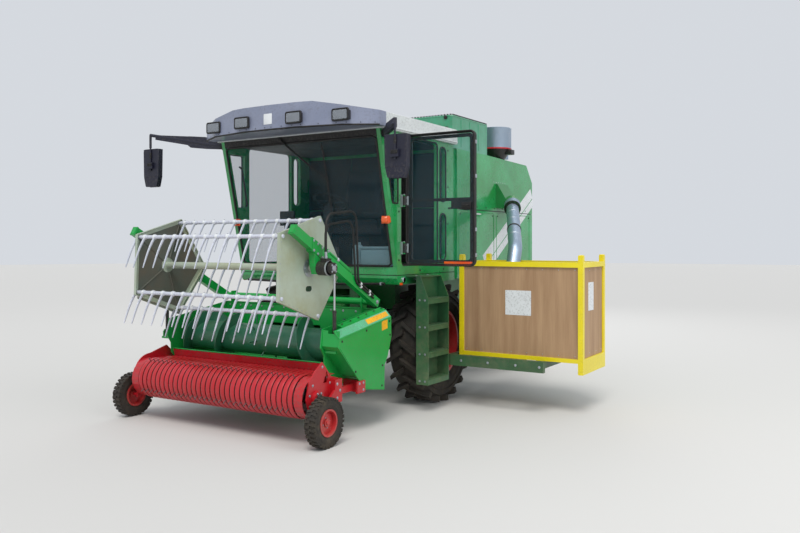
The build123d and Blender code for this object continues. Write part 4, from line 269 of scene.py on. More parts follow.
class ShaderLibrary:
    """The node groups that the finishes share."""

    def __init__(self) -> None:
        """Build every group once."""
        self.groups = {
            Effect.WEATHER: self._weather(),
            Effect.VENEER: self._veneer(),
            Effect.WEAVE: self._weave(),
            Effect.ROLLED: self._rolled(),
        }

    def _weather(self) -> bpy.types.NodeTree:
        """Dust on upward faces and low parts, patchy fading, chips on edges and fine relief.

        Returns:
            The group's node tree.
        """
        group = NodeGroup("Weathering")
        given = group.sockets(
            {
                "Base": (0.1, 0.3, 0.1, 1), "Fade": (0.2, 0.4, 0.2, 1), "Dust": srgb("9c8a6c"),
                "Bare": srgb("5d5850"), "Dustiness": 0.35, "Chips": 0.3, "Roughness": 0.35,
                "Relief": 0.3,
            },
            ("Color", "Roughness", "Height"),
        )
        place = group.place()
        surface = group.node("NewGeometry").outputs
        patches = group.ramp(group.noise(place, 2.3, 4), 0.42, 0.68)
        faded = group.blend(patches, given["Base"], given["Fade"])
        top = group.ramp(group.fed("SeparateXYZ", surface["Normal"], 0, "Z"), 0.2, 1.0)
        low = group.ramp(group.fed("SeparateXYZ", place, 0, "Z"), 1.3, 0.1)
        speckle = group.ramp(group.noise(place, 21, 6), 0.36, 0.74)
        cloud = group.ramp(group.noise(place, 5.5, 5), 0.38, 0.7)
        settle = group.plus(group.combine("MAXIMUM", group.times(top, 0.75), low), 0.22)
        dust = group.times(settle, group.times(speckle, cloud))
        dust = group.times(group.plus(dust, group.times(settle, 0.25)), given["Dustiness"])
        dusted = group.blend(dust, faded, given["Dust"])
        edge = group.ramp(surface["Pointiness"], 0.53, 0.6)
        flecks = group.ramp(group.noise(place, 60, 3), 0.52, 0.62)
        chip = group.times(group.times(edge, flecks), given["Chips"])
        group.link(group.blend(chip, dusted, given["Bare"]), group.end.inputs["Color"])
        rough = group.plus(group.times(dust, 0.6), given["Roughness"])
        group.link(group.plus(rough, group.times(cloud, 0.08)), group.end.inputs["Roughness"])
        fine = group.times(group.noise(place, 140, 3), given["Relief"])
        coarse = group.times(group.noise(place, 7, 2), 0.5)
        height = group.plus(group.plus(fine, coarse), group.times(dust, 0.3))
        group.link(height, group.end.inputs["Height"])
        return group.tree

    def _veneer(self) -> bpy.types.NodeTree:
        """Rotary-cut veneer: long faint grain lines with slow colour bands.

        Returns:
            The group's node tree.
        """
        group = NodeGroup("Veneer")
        given = group.sockets(
            {"Light": srgb("d3ae7c"), "Dark": srgb("a67f50")}, ("Color", "Height")
        )
        place = group.place()
        bands = group.noise(group.stretched(place, (9, 9, 0.7)), 1.4, 5)
        fibres = group.noise(group.stretched(place, (120, 120, 2.4)), 1.0, 4)
        both = group.plus(group.times(bands, 0.75), group.times(fibres, 0.25))
        shade = group.ramp(both, 0.36, 0.66)
        mixed = group.blend(shade, given["Light"], given["Dark"])
        group.link(mixed, group.end.inputs["Color"])
        group.link(fibres, group.end.inputs["Height"])
        return group.tree

    def _weave(self) -> bpy.types.NodeTree:
        """A plain woven seat cloth with coloured flecks.

        Returns:
            The group's node tree.
        """
        group = NodeGroup("Weave")
        given = group.sockets(
            {"Thread": srgb("2c3038"), "Fleck": srgb("4a5260")}, ("Color", "Height")
        )
        place = group.place()
        threads = [
            group.fed("TexWave", place, "Vector", "Fac", in_Scale=95.0, in_Distortion=1.2,
                      bands_direction=direction)
            for direction in ("X", "Z")
        ]
        cross = group.times(*threads)
        flecks = group.ramp(group.noise(place, 85, 2), 0.55, 0.62)
        mixed = group.blend(flecks, given["Thread"], given["Fleck"])
        group.link(mixed, group.end.inputs["Color"])
        group.link(cross, group.end.inputs["Height"])
        return group.tree

    def _rolled(self) -> bpy.types.NodeTree:
        """Galvanised or rolled metal: spangle and a yellowish bloom.

        Returns:
            The group's node tree.
        """
        group = NodeGroup("RolledMetal")
        given = group.sockets(
            {"Metal": srgb("b9bdb2"), "Bloom": srgb("b4ad84"), "Roughness": 0.38},
            ("Color", "Roughness", "Height"),
        )
        place = group.place()
        cells = group.fed("TexVoronoi", place, "Vector", "Distance", in_Scale=36.0)
        spangle = group.ramp(cells, 0.0, 0.7)
        bloom = group.ramp(group.noise(place, 3.1, 5), 0.4, 0.72)
        mixed = group.blend(bloom, given["Metal"], given["Bloom"])
        group.link(mixed, group.end.inputs["Color"])
        rough = group.plus(group.times(spangle, 0.12), given["Roughness"])
        rough = group.plus(rough, group.times(bloom, 0.15))
        group.link(rough, group.end.inputs["Roughness"])
        group.link(group.noise(place, 18, 4), group.end.inputs["Height"])
        return group.tree


@dataclass(frozen=True)
class Finish:
    """One surface finish; build() makes its material."""

    name: str
    base: str
    fade: str
    roughness: float = 0.35
    metallic: float = 0.0
    coat: float = 0.0
    dustiness: float = 0.35
    chips: float = 0.3
    relief: float = 0.3
    bump: float = 0.2
    effect: Effect = Effect.WEATHER

    def build(self, library: ShaderLibrary) -> bpy.types.Material:
        """Build the material.

        Args:
            library: The shared node groups.

        Returns:
            The finished material.
        """
        material, tree, shader = new_material(self.name)
        material.diffuse_color = srgb(self.base)
        shader.inputs["Metallic"].default_value = self.metallic
        shader.inputs["Coat Weight"].default_value = self.coat
        shader.inputs["Coat Roughness"].default_value = 0.08
        effect = tree.nodes.new("ShaderNodeGroup")
        effect.node_tree = library.groups[self.effect]
        effect.inputs[0].default_value = srgb(self.base)
        effect.inputs[1].default_value = srgb(self.fade)
        for name in ("Dustiness", "Chips", "Roughness", "Relief"):
            if name in effect.inputs:
                effect.inputs[name].default_value = getattr(self, name.lower())
        tree.links.new(effect.outputs["Color"], shader.inputs["Base Color"])
        if "Roughness" in effect.outputs:
            tree.links.new(effect.outputs["Roughness"], shader.inputs["Roughness"])
        else:
            shader.inputs["Roughness"].default_value = self.roughness
        bump = add_node(tree, "Bump", in_Strength=self.bump, in_Distance=0.002)
        tree.links.new(effect.outputs["Height"], bump.inputs["Height"])
        tree.links.new(bump.outputs["Normal"], shader.inputs["Normal"])
        return material


@dataclass(frozen=True)
class Glazing:
    """A see-through finish with faint dirt."""

    name: str
    tint: str
    roughness: float = 0.02
    alpha: float = 0.35

    def build(self) -> bpy.types.Material:
        """Build the material, which takes none of the shared groups.

        Returns:
            The finished material.
        """
        material, tree, shader = new_material(self.name)
        shader.inputs["Base Color"].default_value = srgb(self.tint)
        shader.inputs["Alpha"].default_value = self.alpha
        shader.inputs["Coat Weight"].default_value = 0.6
        shader.inputs["Specular IOR Level"].default_value = 0.6
        place = add_node(tree, "TexCoord")
        smear = add_node(tree, "TexNoise", in_Scale=4.0, in_Detail=5.0)
        tree.links.new(place.outputs["Object"], smear.inputs["Vector"])
        spread = add_node(tree, "MapRange", in_1=0.4, in_2=0.75, in_3=self.roughness, in_4=0.16)
        tree.links.new(smear.outputs["Fac"], spread.inputs["Value"])
        tree.links.new(spread.outputs["Result"], shader.inputs["Roughness"])
        material.diffuse_color = srgb(self.tint, self.alpha)
        return material


FINISHES = (
    Finish("frame_paint", "13502e", "1d613a", 0.38, coat=0.15, dustiness=0.35),
    Finish("body_green", "0c6a30", "187a3e", 0.34, coat=0.2, dustiness=0.22),
    Finish("panel_green", "0a8a3c", "28a25c", 0.26, coat=0.7, dustiness=0.06),
    Finish("tank_green", "2a8c64", "52a484", 0.28, coat=0.6, dustiness=0.08),
    Finish("header_green", "00943a", "069c44", 0.34, coat=0.1, dustiness=0.05),
    # A lighter copy of the header's green, laid on the shield's bevel as a painted sky highlight.
    Finish("bevel_painted_highlight", "4aa878", "5cb488", 0.26, coat=0.4, dustiness=0.1),
    Finish("auger_green", "0f6448", "1a7056", 0.34, coat=0.2, dustiness=0.25, chips=0.6),
    Finish("bat_steel", "cdd1de", "bcc1cf", 0.34, metallic=0.15, dustiness=0.12),
    Finish("pickup_red", "ae0418", "ba1026", 0.34, coat=0.15, dustiness=0.07, chips=0.4),
    Finish("rim_red", "ac0c1e", "b81c2a", 0.32, coat=0.2, dustiness=0.3, chips=0.5),
    Finish("crate_yellow", "e2cf06", "ead812", 0.36, coat=0.2, dustiness=0.08, chips=0.15),
    # The plywood's tones are set darker than the ply's own colour to stand for the shade on the
    # crate's face: part wood colour, part painted shade.
    Finish("plywood", "b0906e", "957455", 0.55, bump=0.3, effect=Effect.VENEER),
    # The visor's grey is a shaded copy of the roof's white: painted shade on the visor front, not a
    # grey paint.
    Finish("visor_grey", "7a8299", "878ea4", 0.32, coat=0.3, dustiness=0.12),
    Finish("black_plastic", "0e0f12", "15161b", 0.55, dustiness=0.08, relief=0.12),
    Finish("mirror_navy", "101226", "181b30", 0.45, dustiness=0.06),
    Finish("lamp_plastic", "17181e", "22232a", 0.4, dustiness=0.12),
    Finish("seat_fabric", "1d2026", "282c35", 0.9, bump=0.3, effect=Effect.WEAVE),
    Finish("console_plastic", "26292e", "303338", 0.55, dustiness=0.12, relief=0.2),
    Finish("box_blue", "7fa3ae", "8fb0ba", 0.5, dustiness=0.12),
    Finish("engine_block", "3c3e41", "4a4c4f", 0.6, metallic=0.3, dustiness=0.5, relief=1.0),
    Finish("duct_metal", "a4b4c6", "93a5b8", 0.3, metallic=0.85, effect=Effect.ROLLED),
    Finish("motor_black", "0d0e11", "16171b", 0.4, coat=0.1, dustiness=0.15),
    Finish("hose_rubber", "08090a", "101114", 0.5, dustiness=0.08, relief=0.3),
    Finish("reel_grey", "b0bcac", "a4a88c", 0.36, metallic=0.3, effect=Effect.ROLLED),
    Finish("bare_steel", "8a8c8e", "6e675c", 0.34, metallic=0.9, effect=Effect.ROLLED),
    Finish("cylinder_black", "0f1013", "191a1e", 0.42, dustiness=0.15),
    Finish("chrome_rod", "cfd2d6", "c0c4c8", 0.18, metallic=1.0, effect=Effect.ROLLED),
    Finish("tyre_rubber", "101013", "1a1a1c", 0.7, dustiness=0.2, chips=0.0, relief=1.0,
           bump=0.6),
    Finish("white_trim", "dfe3e6", "d2d6d8", 0.34, coat=0.2, dustiness=0.1),
    Finish("roof_white", "d3d8d8", "c4caca", 0.4, coat=0.2, dustiness=0.2),
    # This dark finish paints shade on the far end plate's inner face and also colours the eccentric
    # ring's channel.
    Finish("reel_dark", "5a6058", "6a5f50", 0.42, metallic=0.2, effect=Effect.ROLLED),
    Finish("zinc", "b4b9c0", "989da4", 0.3, metallic=0.8, effect=Effect.ROLLED),
    Finish("plate_yellow", "eab010", "dfa010", 0.4, dustiness=0.1),
    Finish("lamp_orange", "e04a10", "e85f1c", 0.2, coat=0.7, dustiness=0.05),
    Finish("seal_black", "08090b", "101116", 0.6, dustiness=0.1),
    Finish("mirror_glass", "c8ced4", "bec4ca", 0.05, metallic=1.0, effect=Effect.ROLLED),
)
REPAINTED = {"cab_roof": "roof_white", "mirrors": "mirror_navy"}
GLAZINGS = (
    Glazing("cab_glazing", "1d4c58", alpha=0.13),
    Glazing("lamp_glass", "8b9199", alpha=0.55),
)


class Workshop:
    """Holds the frame and the finished materials."""

    def __init__(self, frame: dict) -> None:
        """Keep the frame and build every material."""
        self.frame = frame
        library = ShaderLibrary()
        self.materials = {item.name: item.build(library) for item in FINISHES}
        self.materials.update({item.name: item.build() for item in GLAZINGS})

    def paint(self, node: str, finish: str) -> None:
        """Give a CAD node a finish.

        Args:
            node: CAD node name.
            finish: Name of the finish.
        """
        for place in self.frame["nodes"][node].material_slots:
            place.material = self.materials[finish]

    def paint_frame(self) -> None:
        """Give every CAD node the finish of its slot in the record."""
        for part in self.frame["record"]["subparts"]:
            self.paint(part["node"], REPAINTED.get(part["node"], part["material_slot"]))


class MeshKit:
    """Builds one mesh object out of simple worked forms."""

    def __init__(self, shop: Workshop, name: str) -> None:
        """Start an empty piece."""
        self.shop = shop
        self.name = name
        self.bm = bmesh.new()

    def box(self, low: Point, high: Point, bevel: float = 0.0) -> None:
        """Add a box, with its edges rounded if bevel is over 0.

        Args:
            low: Lowest corner.
            high: Highest corner.
            bevel: Edge rounding in metres.
        """
        low, high = Vector(low), Vector(high)
        made = bmesh.ops.create_cube(
            self.bm,
            size=1.0,
            matrix=Matrix.Translation((low + high) / 2)
            @ Matrix.Diagonal((*(high - low), 1.0)),
        )["verts"]
        self._soften(made, bevel)

    def side_box(self, side: int, low: Point, high: Point, bevel: float = 0.0) -> None:
        """Add a box that is given for the left side.

        Args:
            side: 1 for the left side, -1 for the right.
            low: Lowest corner on the left side.
            high: Highest corner on the left side.
            bevel: Edge rounding in metres.
        """
        first, last = sorted((side * low[0], side * high[0]))
        self.box((first, *low[1:]), (last, *high[1:]), bevel)

    def _soften(self, verts: Sequence[bmesh.types.BMVert], bevel: float) -> None:
        """Round the edges between vertices, if bevel is over 0."""
        if bevel > 0:
            edges = list({edge for vert in verts for edge in vert.link_edges})
            bmesh.ops.bevel(
                self.bm, geom=edges, offset=bevel, segments=2, profile=0.6, affect="EDGES"
            )

    def prism(self, outline: Sequence[Point], axis: Axis, start: float, end: float,
              bevel: float = 0.0) -> None:
        """Extrude a closed outline along a main axis.

        Args:
            outline: Points in the other two axes, in X, Y, Z order.
            axis: Direction of the extrusion.
            start: First station.
            end: Last station.
            bevel: Rounding of the rim edges.
        """
        def lift(point: Point, station: float) -> Vector:
            """Place a point of the outline at a station."""
            return Vector((*point[:axis.value], station, *point[axis.value:]))

        base = [self.bm.verts.new(lift(point, start)) for point in outline]
        face = self.bm.faces.new(base)
        grown = bmesh.ops.extrude_face_region(self.bm, geom=[face])["geom"]
        moved = [item for item in grown if isinstance(item, bmesh.types.BMVert)]
        shift = Vector((0, 0, 0))
        shift[axis.value] = end - start
        bmesh.ops.translate(self.bm, verts=moved, vec=shift)
        verts = base + moved
        faces = list({f for vert in verts for f in vert.link_faces})
        bmesh.ops.recalc_face_normals(self.bm, faces=faces)
        self._soften(verts, bevel)

    def tube(self, points: Sequence[Point], radius: float | Sequence[float], sides: int = 10,
             closed: bool = False) -> None:
        """Sweep a round section along a line of points.

        Args:
            points: The centre line.
            radius: One radius, or one for each point.
            sides: Number of sides of the section.
            closed: Whether the line is a loop.
        """
        path = [Vector(point) for point in points]
        radii = [radius] * len(path) if isinstance(radius, (int, float)) else list(radius)
        last = len(path) - 1
        side = None
        rings = []
        for index, here in enumerate(path):
            before = path[index - 1] if index > 0 or closed else here
            after = path[(index + 1) % len(path)] if index < last or closed else here
            run = (after - before).normalized()
            if side is None:
                side = run.orthogonal().normalized()
            side = (side - run * side.dot(run)).normalized()
            rings.append(self._ring(here, side, run.cross(side), radii[index], sides))
        self.skin(rings, closed)

    def lathe(self, profile: Sequence[tuple[float, float]], centre: Point, axis: Point,
              steps: int = 24) -> None:
        """Turn a profile of (along, radius) points about a line and close both ends.

        Args:
            profile: Points along the axis and away from it.
            centre: A point on the axis, where along is 0.
            axis: Direction of the axis.
            steps: Number of sides.
        """
        main = Vector(axis).normalized()
        side = main.orthogonal().normalized()
        other = main.cross(side)
        self.skin([
            self._ring(Vector(centre) + main * along, side, other, max(radius, 1e-5), steps)
            for along, radius in profile
        ])

    def _ring(self, centre: Vector, side: Vector, other: Vector, radius: float,
              count: int) -> list[bmesh.types.BMVert]:
        """Add a circle of vertices.

        Args:
            centre: Centre of the circle.
            side: Direction of the first vertex.
            other: Direction a quarter turn on.
            radius: Radius of the circle.
            count: Number of vertices.

        Returns:
            The new vertices.
        """
        ring = []
        for step in range(count):
            angle = 2 * math.pi * step / count
            spoke = side * math.cos(angle) + other * math.sin(angle)
            ring.append(self.bm.verts.new(centre + spoke * radius))
        return ring

    def skin(self, rings: Sequence[Sequence[bmesh.types.BMVert]], closed: bool = False) -> None:
        """Join rings of vertices into a tube with flat ends, or into a loop.

        Args:
            rings: Rings with the same number of vertices each.
            closed: Whether the last ring joins the first.
        """
        count = len(rings[0])
        pairs = list(zip(rings, rings[1:]))
        if closed:
            pairs.append((rings[-1], rings[0]))
        for lower, upper in pairs:
            for step in range(count):
                nxt = (step + 1) % count
                self.bm.faces.new((lower[step], lower[nxt], upper[nxt], upper[step]))
        if not closed:
            self.bm.faces.new(rings[0][::-1])
            self.bm.faces.new(rings[-1])

    def pad(self, top: Sequence[Sequence[Point]], drop: Point) -> None:
        """Close a crowned grid of points with straight sides and a flat back.

        Args:
            top: Rows of points of the crowned face.
            drop: The way from the face's edge to its back.
        """
        rows = [[self.bm.verts.new(Vector(point)) for point in row] for row in top]
        for lower, upper in zip(rows, rows[1:]):
            for step in range(len(lower) - 1):
                self.bm.faces.new((lower[step], lower[step + 1], upper[step + 1], upper[step]))
        edge = (
            rows[0] + [row[-1] for row in rows[1:]] + rows[-1][-2::-1]
            + [row[0] for row in rows[-2:0:-1]]
        )
        back = [self.bm.verts.new(vert.co + Vector(drop)) for vert in edge]
        count = len(edge)
        for step in range(count):
            nxt = (step + 1) % count
            self.bm.faces.new((edge[step], edge[nxt], back[nxt], back[step]))
        self.bm.faces.new(back)

    def bolt(self, place: Point, direction: Point, radius: float = 0.009,
             height: float = 0.006) -> None:
        """Add a hexagon bolt head on its washer.

        Args:
            place: Where the washer meets the surface.
            direction: Outward direction.
            radius: Radius across the head's corners.
            height: Height of the head.
        """
        out = Vector(direction).normalized()
        base = Vector(place)
        self.lathe([(-0.001, radius * 1.35), (0.0015, radius * 1.35)], base, out, 12)
        self.lathe(
            [(0.001, radius), (height * 0.85, radius), (height, radius * 0.82)], base, out, 6
        )

    def bolt_row(self, x: float, places: Sequence[Point], side: int, radius: float) -> None:
        """Bolt a flat side of the machine.

        Args:
            x: Station of the side's face.
            places: Places of the bolts in y and z.
            side: 1 where the bolts look to the left, -1 to the right.
            radius: Radius across a head's corners.
        """
        for place in places:
            self.bolt((x, *place), (side, 0, 0), radius)

    def bolt_circle(self, x: float, centre: Point, circle: float, count: int, side: int,
                    radius: float, height: float = 0.006, turn: float = 0.0) -> None:
        """Bolt a flat side of the machine in a circle.

        Args:
            x: Station of the side's face.
            centre: Centre of the circle in y and z.
            circle: Radius of the circle.
            count: Number of bolts.
            side: 1 where the bolts look to the left, -1 to the right.
            radius: Radius across a head's corners.
            height: Height of a head.
            turn: Angle of the first bolt in degrees.
        """
        for index in range(count):
            place = polar(centre, circle, 360 * index / count + turn)
            self.bolt((x, *place), (side, 0, 0), radius, height)

    def finish(self, material: str, slot: str, body: str = "machine",
               smooth: float = 35.0) -> Part:
        """Turn the built form into an object that rides on a CAD body.

        Args:
            material: Finish name.
            slot: Material slot of the record. It is not used.
            body: CAD body that carries the piece.
            smooth: Edges flatter than this angle in degrees are smooth.

        Returns:
            The new object.
        """
        bmesh.ops.recalc_face_normals(self.bm, faces=self.bm.faces)
        limit = math.radians(smooth)
        for face in self.bm.faces:
            face.smooth = True
        for edge in self.bm.edges:
            edge.smooth = edge.calc_face_angle(math.pi) < limit
        mesh = bpy.data.meshes.new(self.name)
        self.bm.to_mesh(mesh)
        self.bm.free()
        made = bpy.data.objects.new(self.name, mesh)
        bpy.context.scene.collection.objects.link(made)
        mesh.materials.append(self.shop.materials[material])
        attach(made, body)
        LOG.info("made %s", self.name)
        return made


@dataclass
class Studio:
    """Floor, lights and the camera at the photograph's viewing angle."""

    camera_place: Point = (5.124, -7.373, 1.69)
    camera_aim: Point = (-0.528, 0.849, 0.0)
    lens: float = 35.37
    shift: float = -0.0294
    sky: Colour = (0.90, 0.94, 1.0, 1)
    sky_strength: float = 0.74
    sun_energy: float = 1.9
    sun_spread: float = 25.0
    sun_colour: tuple[float, float, float] = (1.0, 0.97, 0.92)
    sun_aim: Point = (-0.25, 0.5, -0.85)
    floor_radius: float = 60.0

    def camera(self) -> None:
        """Place the camera."""
        data = bpy.data.cameras.new("Camera")
        data.sensor_width = 36.0
        data.lens = self.lens
        data.shift_y = self.shift
        data.clip_end = 200.0
        made = bpy.data.objects.new("Camera", data)
        made.location = Vector(self.camera_place)
        made.rotation_euler = Vector(self.camera_aim).to_track_quat("-Z", "Y").to_euler()
        bpy.context.scene.collection.objects.link(made)
        bpy.context.scene.camera = made

    def lights(self) -> None:
        """Set a soft overcast dome, a wide sun and two large fill panels."""
        world = bpy.data.worlds.new("Studio")
        bpy.context.scene.world = world
        world.use_nodes = True
        tree = world.node_tree
        background = next(node for node in tree.nodes if node.type == "BACKGROUND")
        background.inputs["Color"].default_value = self.sky
        background.inputs["Strength"].default_value = self.sky_strength
        sun = bpy.data.lights.new("Sun", "SUN")
        sun.energy = self.sun_energy
        sun.angle = math.radians(self.sun_spread)
        sun.color = self.sun_colour
        lamp = bpy.data.objects.new("Sun", sun)
        lamp.rotation_euler = Vector(self.sun_aim).to_track_quat("-Z", "Y").to_euler()
        bpy.context.scene.collection.objects.link(lamp)
        for name, place, size, energy in (
            ("FillLeft", (9, -3, 6), 5.0, 220),
            ("FillRear", (-3, 9, 7), 6.0, 180),
        ):
            area = bpy.data.lights.new(name, "AREA")
            area.energy = energy
            area.size = size
            holder = bpy.data.objects.new(name, area)
            holder.location = place
            aim = Vector((0, 0, 1)) - Vector(place)
            holder.rotation_euler = aim.to_track_quat("-Z", "Y").to_euler()
            bpy.context.scene.collection.objects.link(holder)

    def floor(self) -> None:
        """Lay a wide pale floor with a faint texture."""
        mesh = bpy.data.meshes.new("floor")
        bm = bmesh.new()
        bmesh.ops.create_circle(bm, cap_ends=True, segments=64, radius=self.floor_radius)
        bm.to_mesh(mesh)
        bm.free()
        made = bpy.data.objects.new("floor", mesh)
        bpy.context.scene.collection.objects.link(made)
        material, tree, shader = new_material("floor")
        shader.inputs["Roughness"].default_value = 0.85
        noise = add_node(tree, "TexNoise", in_Scale=0.8, in_Detail=6.0)
        ramp = add_node(tree, "ValToRGB")
        ramp.color_ramp.elements[0].color = (0.54, 0.535, 0.52, 1)
        ramp.color_ramp.elements[1].color = (0.62, 0.615, 0.60, 1)
        tree.links.new(noise.outputs["Fac"], ramp.inputs["Fac"])
        tree.links.new(ramp.outputs["Color"], shader.inputs["Base Color"])
        mesh.materials.append(material)

    def build(self) -> None:
        """Make the whole studio."""
        self.camera()
        self.lights()
        self.floor()
        bpy.context.scene.view_settings.view_transform = "Standard"


def loop_points(low: Point, high: Point, radius: float, steps: int = 5) -> list[Point]:
    """Return the corners of a round-cornered rectangle, in two axes.

    Args:
        low: Lowest corner.
        high: Highest corner.
        radius: Corner radius.
        steps: Points of each corner.

    Returns:
        The points of the closed outline.
    """
    points = []
    for turn, (cx, cy) in enumerate((
        (high[0] - radius, high[1] - radius), (low[0] + radius, high[1] - radius),
        (low[0] + radius, low[1] + radius), (high[0] - radius, low[1] + radius),
    )):
        for step in range(steps + 1):
            angle = math.pi / 2 * (turn + step / steps)
            points.append((cx + radius * math.cos(angle), cy + radius * math.sin(angle)))
    return points


def polar(centre: Point, radius: float, degrees: float) -> Point:
    """Return the (y, z) point at an angle counted from +Y towards +Z."""
    angle = math.radians(degrees)
    return (centre[0] + radius * math.cos(angle), centre[1] + radius * math.sin(angle))


def between(start: Point, end: Point, share: float) -> Vector:
    """Return the point at a share of the way between two points."""
    return Vector(start).lerp(Vector(end), share)


def along_sides(corners: Sequence[Point], shares: Sequence[float]) -> list[Vector]:
    """Return the points at the given shares of every side of a closed line.

    Args:
        corners: Corners of the closed line, in two or three axes.
        shares: Shares of each side's length.

    Returns:
        The points, side by side.
    """
    ends = [*corners[1:], corners[0]]
    return [between(*side, share) for side in zip(corners, ends) for share in shares]


@dataclass
class SubAssembly:
    """Base of the dressed sub-assemblies: knows the workshop and starts mesh kits."""

    shop: Workshop
    count: int = field(default=0, init=False)

    def kit(self, name: str) -> MeshKit:
        """Start a new piece."""
        self.count += 1
        return MeshKit(self.shop, name)

    def kits(self, *names: str) -> list[MeshKit]:
        """Start several new pieces."""
        return [self.kit(name) for name in names]

    def build(self) -> None:
        """Make every piece of the sub-assembly."""
        raise NotImplementedError


@dataclass
class PickUp(SubAssembly):
    """Crowned stripper bands, plate bolts and bearing covers of the pick-up."""

    centre: Point = (-2.150, 0.390)
    radius: float = 0.184
    bands: int = 32
    pitch: float = 0.059
    width: float = 0.046
    plate_x: float = 1.052
    hub_x: float = 1.083
    lug_x: float = 1.106
    bracket_x: float = 1.164

    def _path(self) -> list[tuple[Point, Point]]:
        """Lay out a band.

        Returns:
            Points of the band's centre line in y and z, each with its outward direction.
        """
        line = [((-1.886, 0.562), (0.0, 1.0)), ((-1.985, 0.568), (0.02, 1.0))]
        for degrees in range(68, 301, 8):
            place = polar(self.centre, self.radius, degrees)
            out = (math.cos(math.radians(degrees)), math.sin(math.radians(degrees)))
            line.append((place, out))
        line.append(((-1.888, 0.328), (0.2, -1.0)))
        return line

    def _bands(self) -> None:
        """Build all bands as one crowned skin."""
        kit = self.kit("pickup_band_skins")
        section = ((-1.0, -0.004), (-1.0, 0.001), (-0.62, 0.0045), (0.0, 0.006),
                   (0.62, 0.0045), (1.0, 0.001), (1.0, -0.004))
        path = self._path()
        for index in range(self.bands):
            x = self.pitch * (index - (self.bands - 1) / 2)
            rings = []
            for (y, z), (oy, oz) in path:
                size = math.hypot(oy, oz)
                rings.append([
                    kit.bm.verts.new((
                        x + share * self.width / 2, y + oy / size * rise, z + oz / size * rise
                    ))
                    for share, rise in section
                ])
            kit.skin(rings)
        made = kit.finish("pickup_red", "pickup_red", "header", 50)
        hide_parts("pickup_bands")

    def _fixings(self) -> None:
        """Bolt the side plates and the left bracket and cover the rotor's bearings."""
        bolts, covers = self.kits("pickup_bolts", "pickup_bearing_covers")
        for side in SIDES:
            out = (side, 0, 0)
            bolts.bolt_circle(side * self.hub_x, self.centre, 0.046, 6, side, 0.007)
            covers.lathe(
                [(0, 0.036), (0.008, 0.036), (0.013, 0.028), (0.015, 0.0)],
                (side * self.hub_x, *self.centre), out, 20,
            )
            upper = (-2.07, 0.64) if side > 0 else (-1.93, 0.60)
            places = (upper, (-1.962, 0.492), (-1.90, 0.49), (-1.90, 0.34), (-2.02, 0.30),
                      (-2.24, 0.42), (-2.20, 0.50))
            bolts.bolt_row(side * self.plate_x, places, side, 0.009)
            places = ((-1.93, 0.36), (-1.93, 0.48), (-1.89, 0.42))
            bolts.bolt_row(side * self.lug_x, places, side, 0.010)
        bolts.bolt_row(self.bracket_x, ((-1.68, 0.45), (-1.62, 0.45), (-1.62, 0.39)), 1, 0.009)
        bolts.finish("zinc", "pickup_red", "header")
        covers.finish("cylinder_black", "pickup_red", "header")

    def build(self) -> None:
        """Make every piece of the pick-up."""
        self._bands()
        self._fixings()


@dataclass(frozen=True)
class WheelSpec:
    """Place and sizes of one kind of wheel."""

    name: str
    x: float
    y: float
    radius: float
    rim: float
    half: float
    dish: float
    nuts: int
    circle: float


WHEELS = (
    WheelSpec("front", 0.925, 0.0, 0.630, 0.335, 0.180, 0.030, 8, 0.118),
    WheelSpec("rear", 0.800, 2.5, 0.400, 0.205, 0.130, 0.026, 6, 0.080),
    WheelSpec("gauge", 1.175, -2.2, 0.210, 0.108, 0.050, 0.010, 4, 0.044),
)


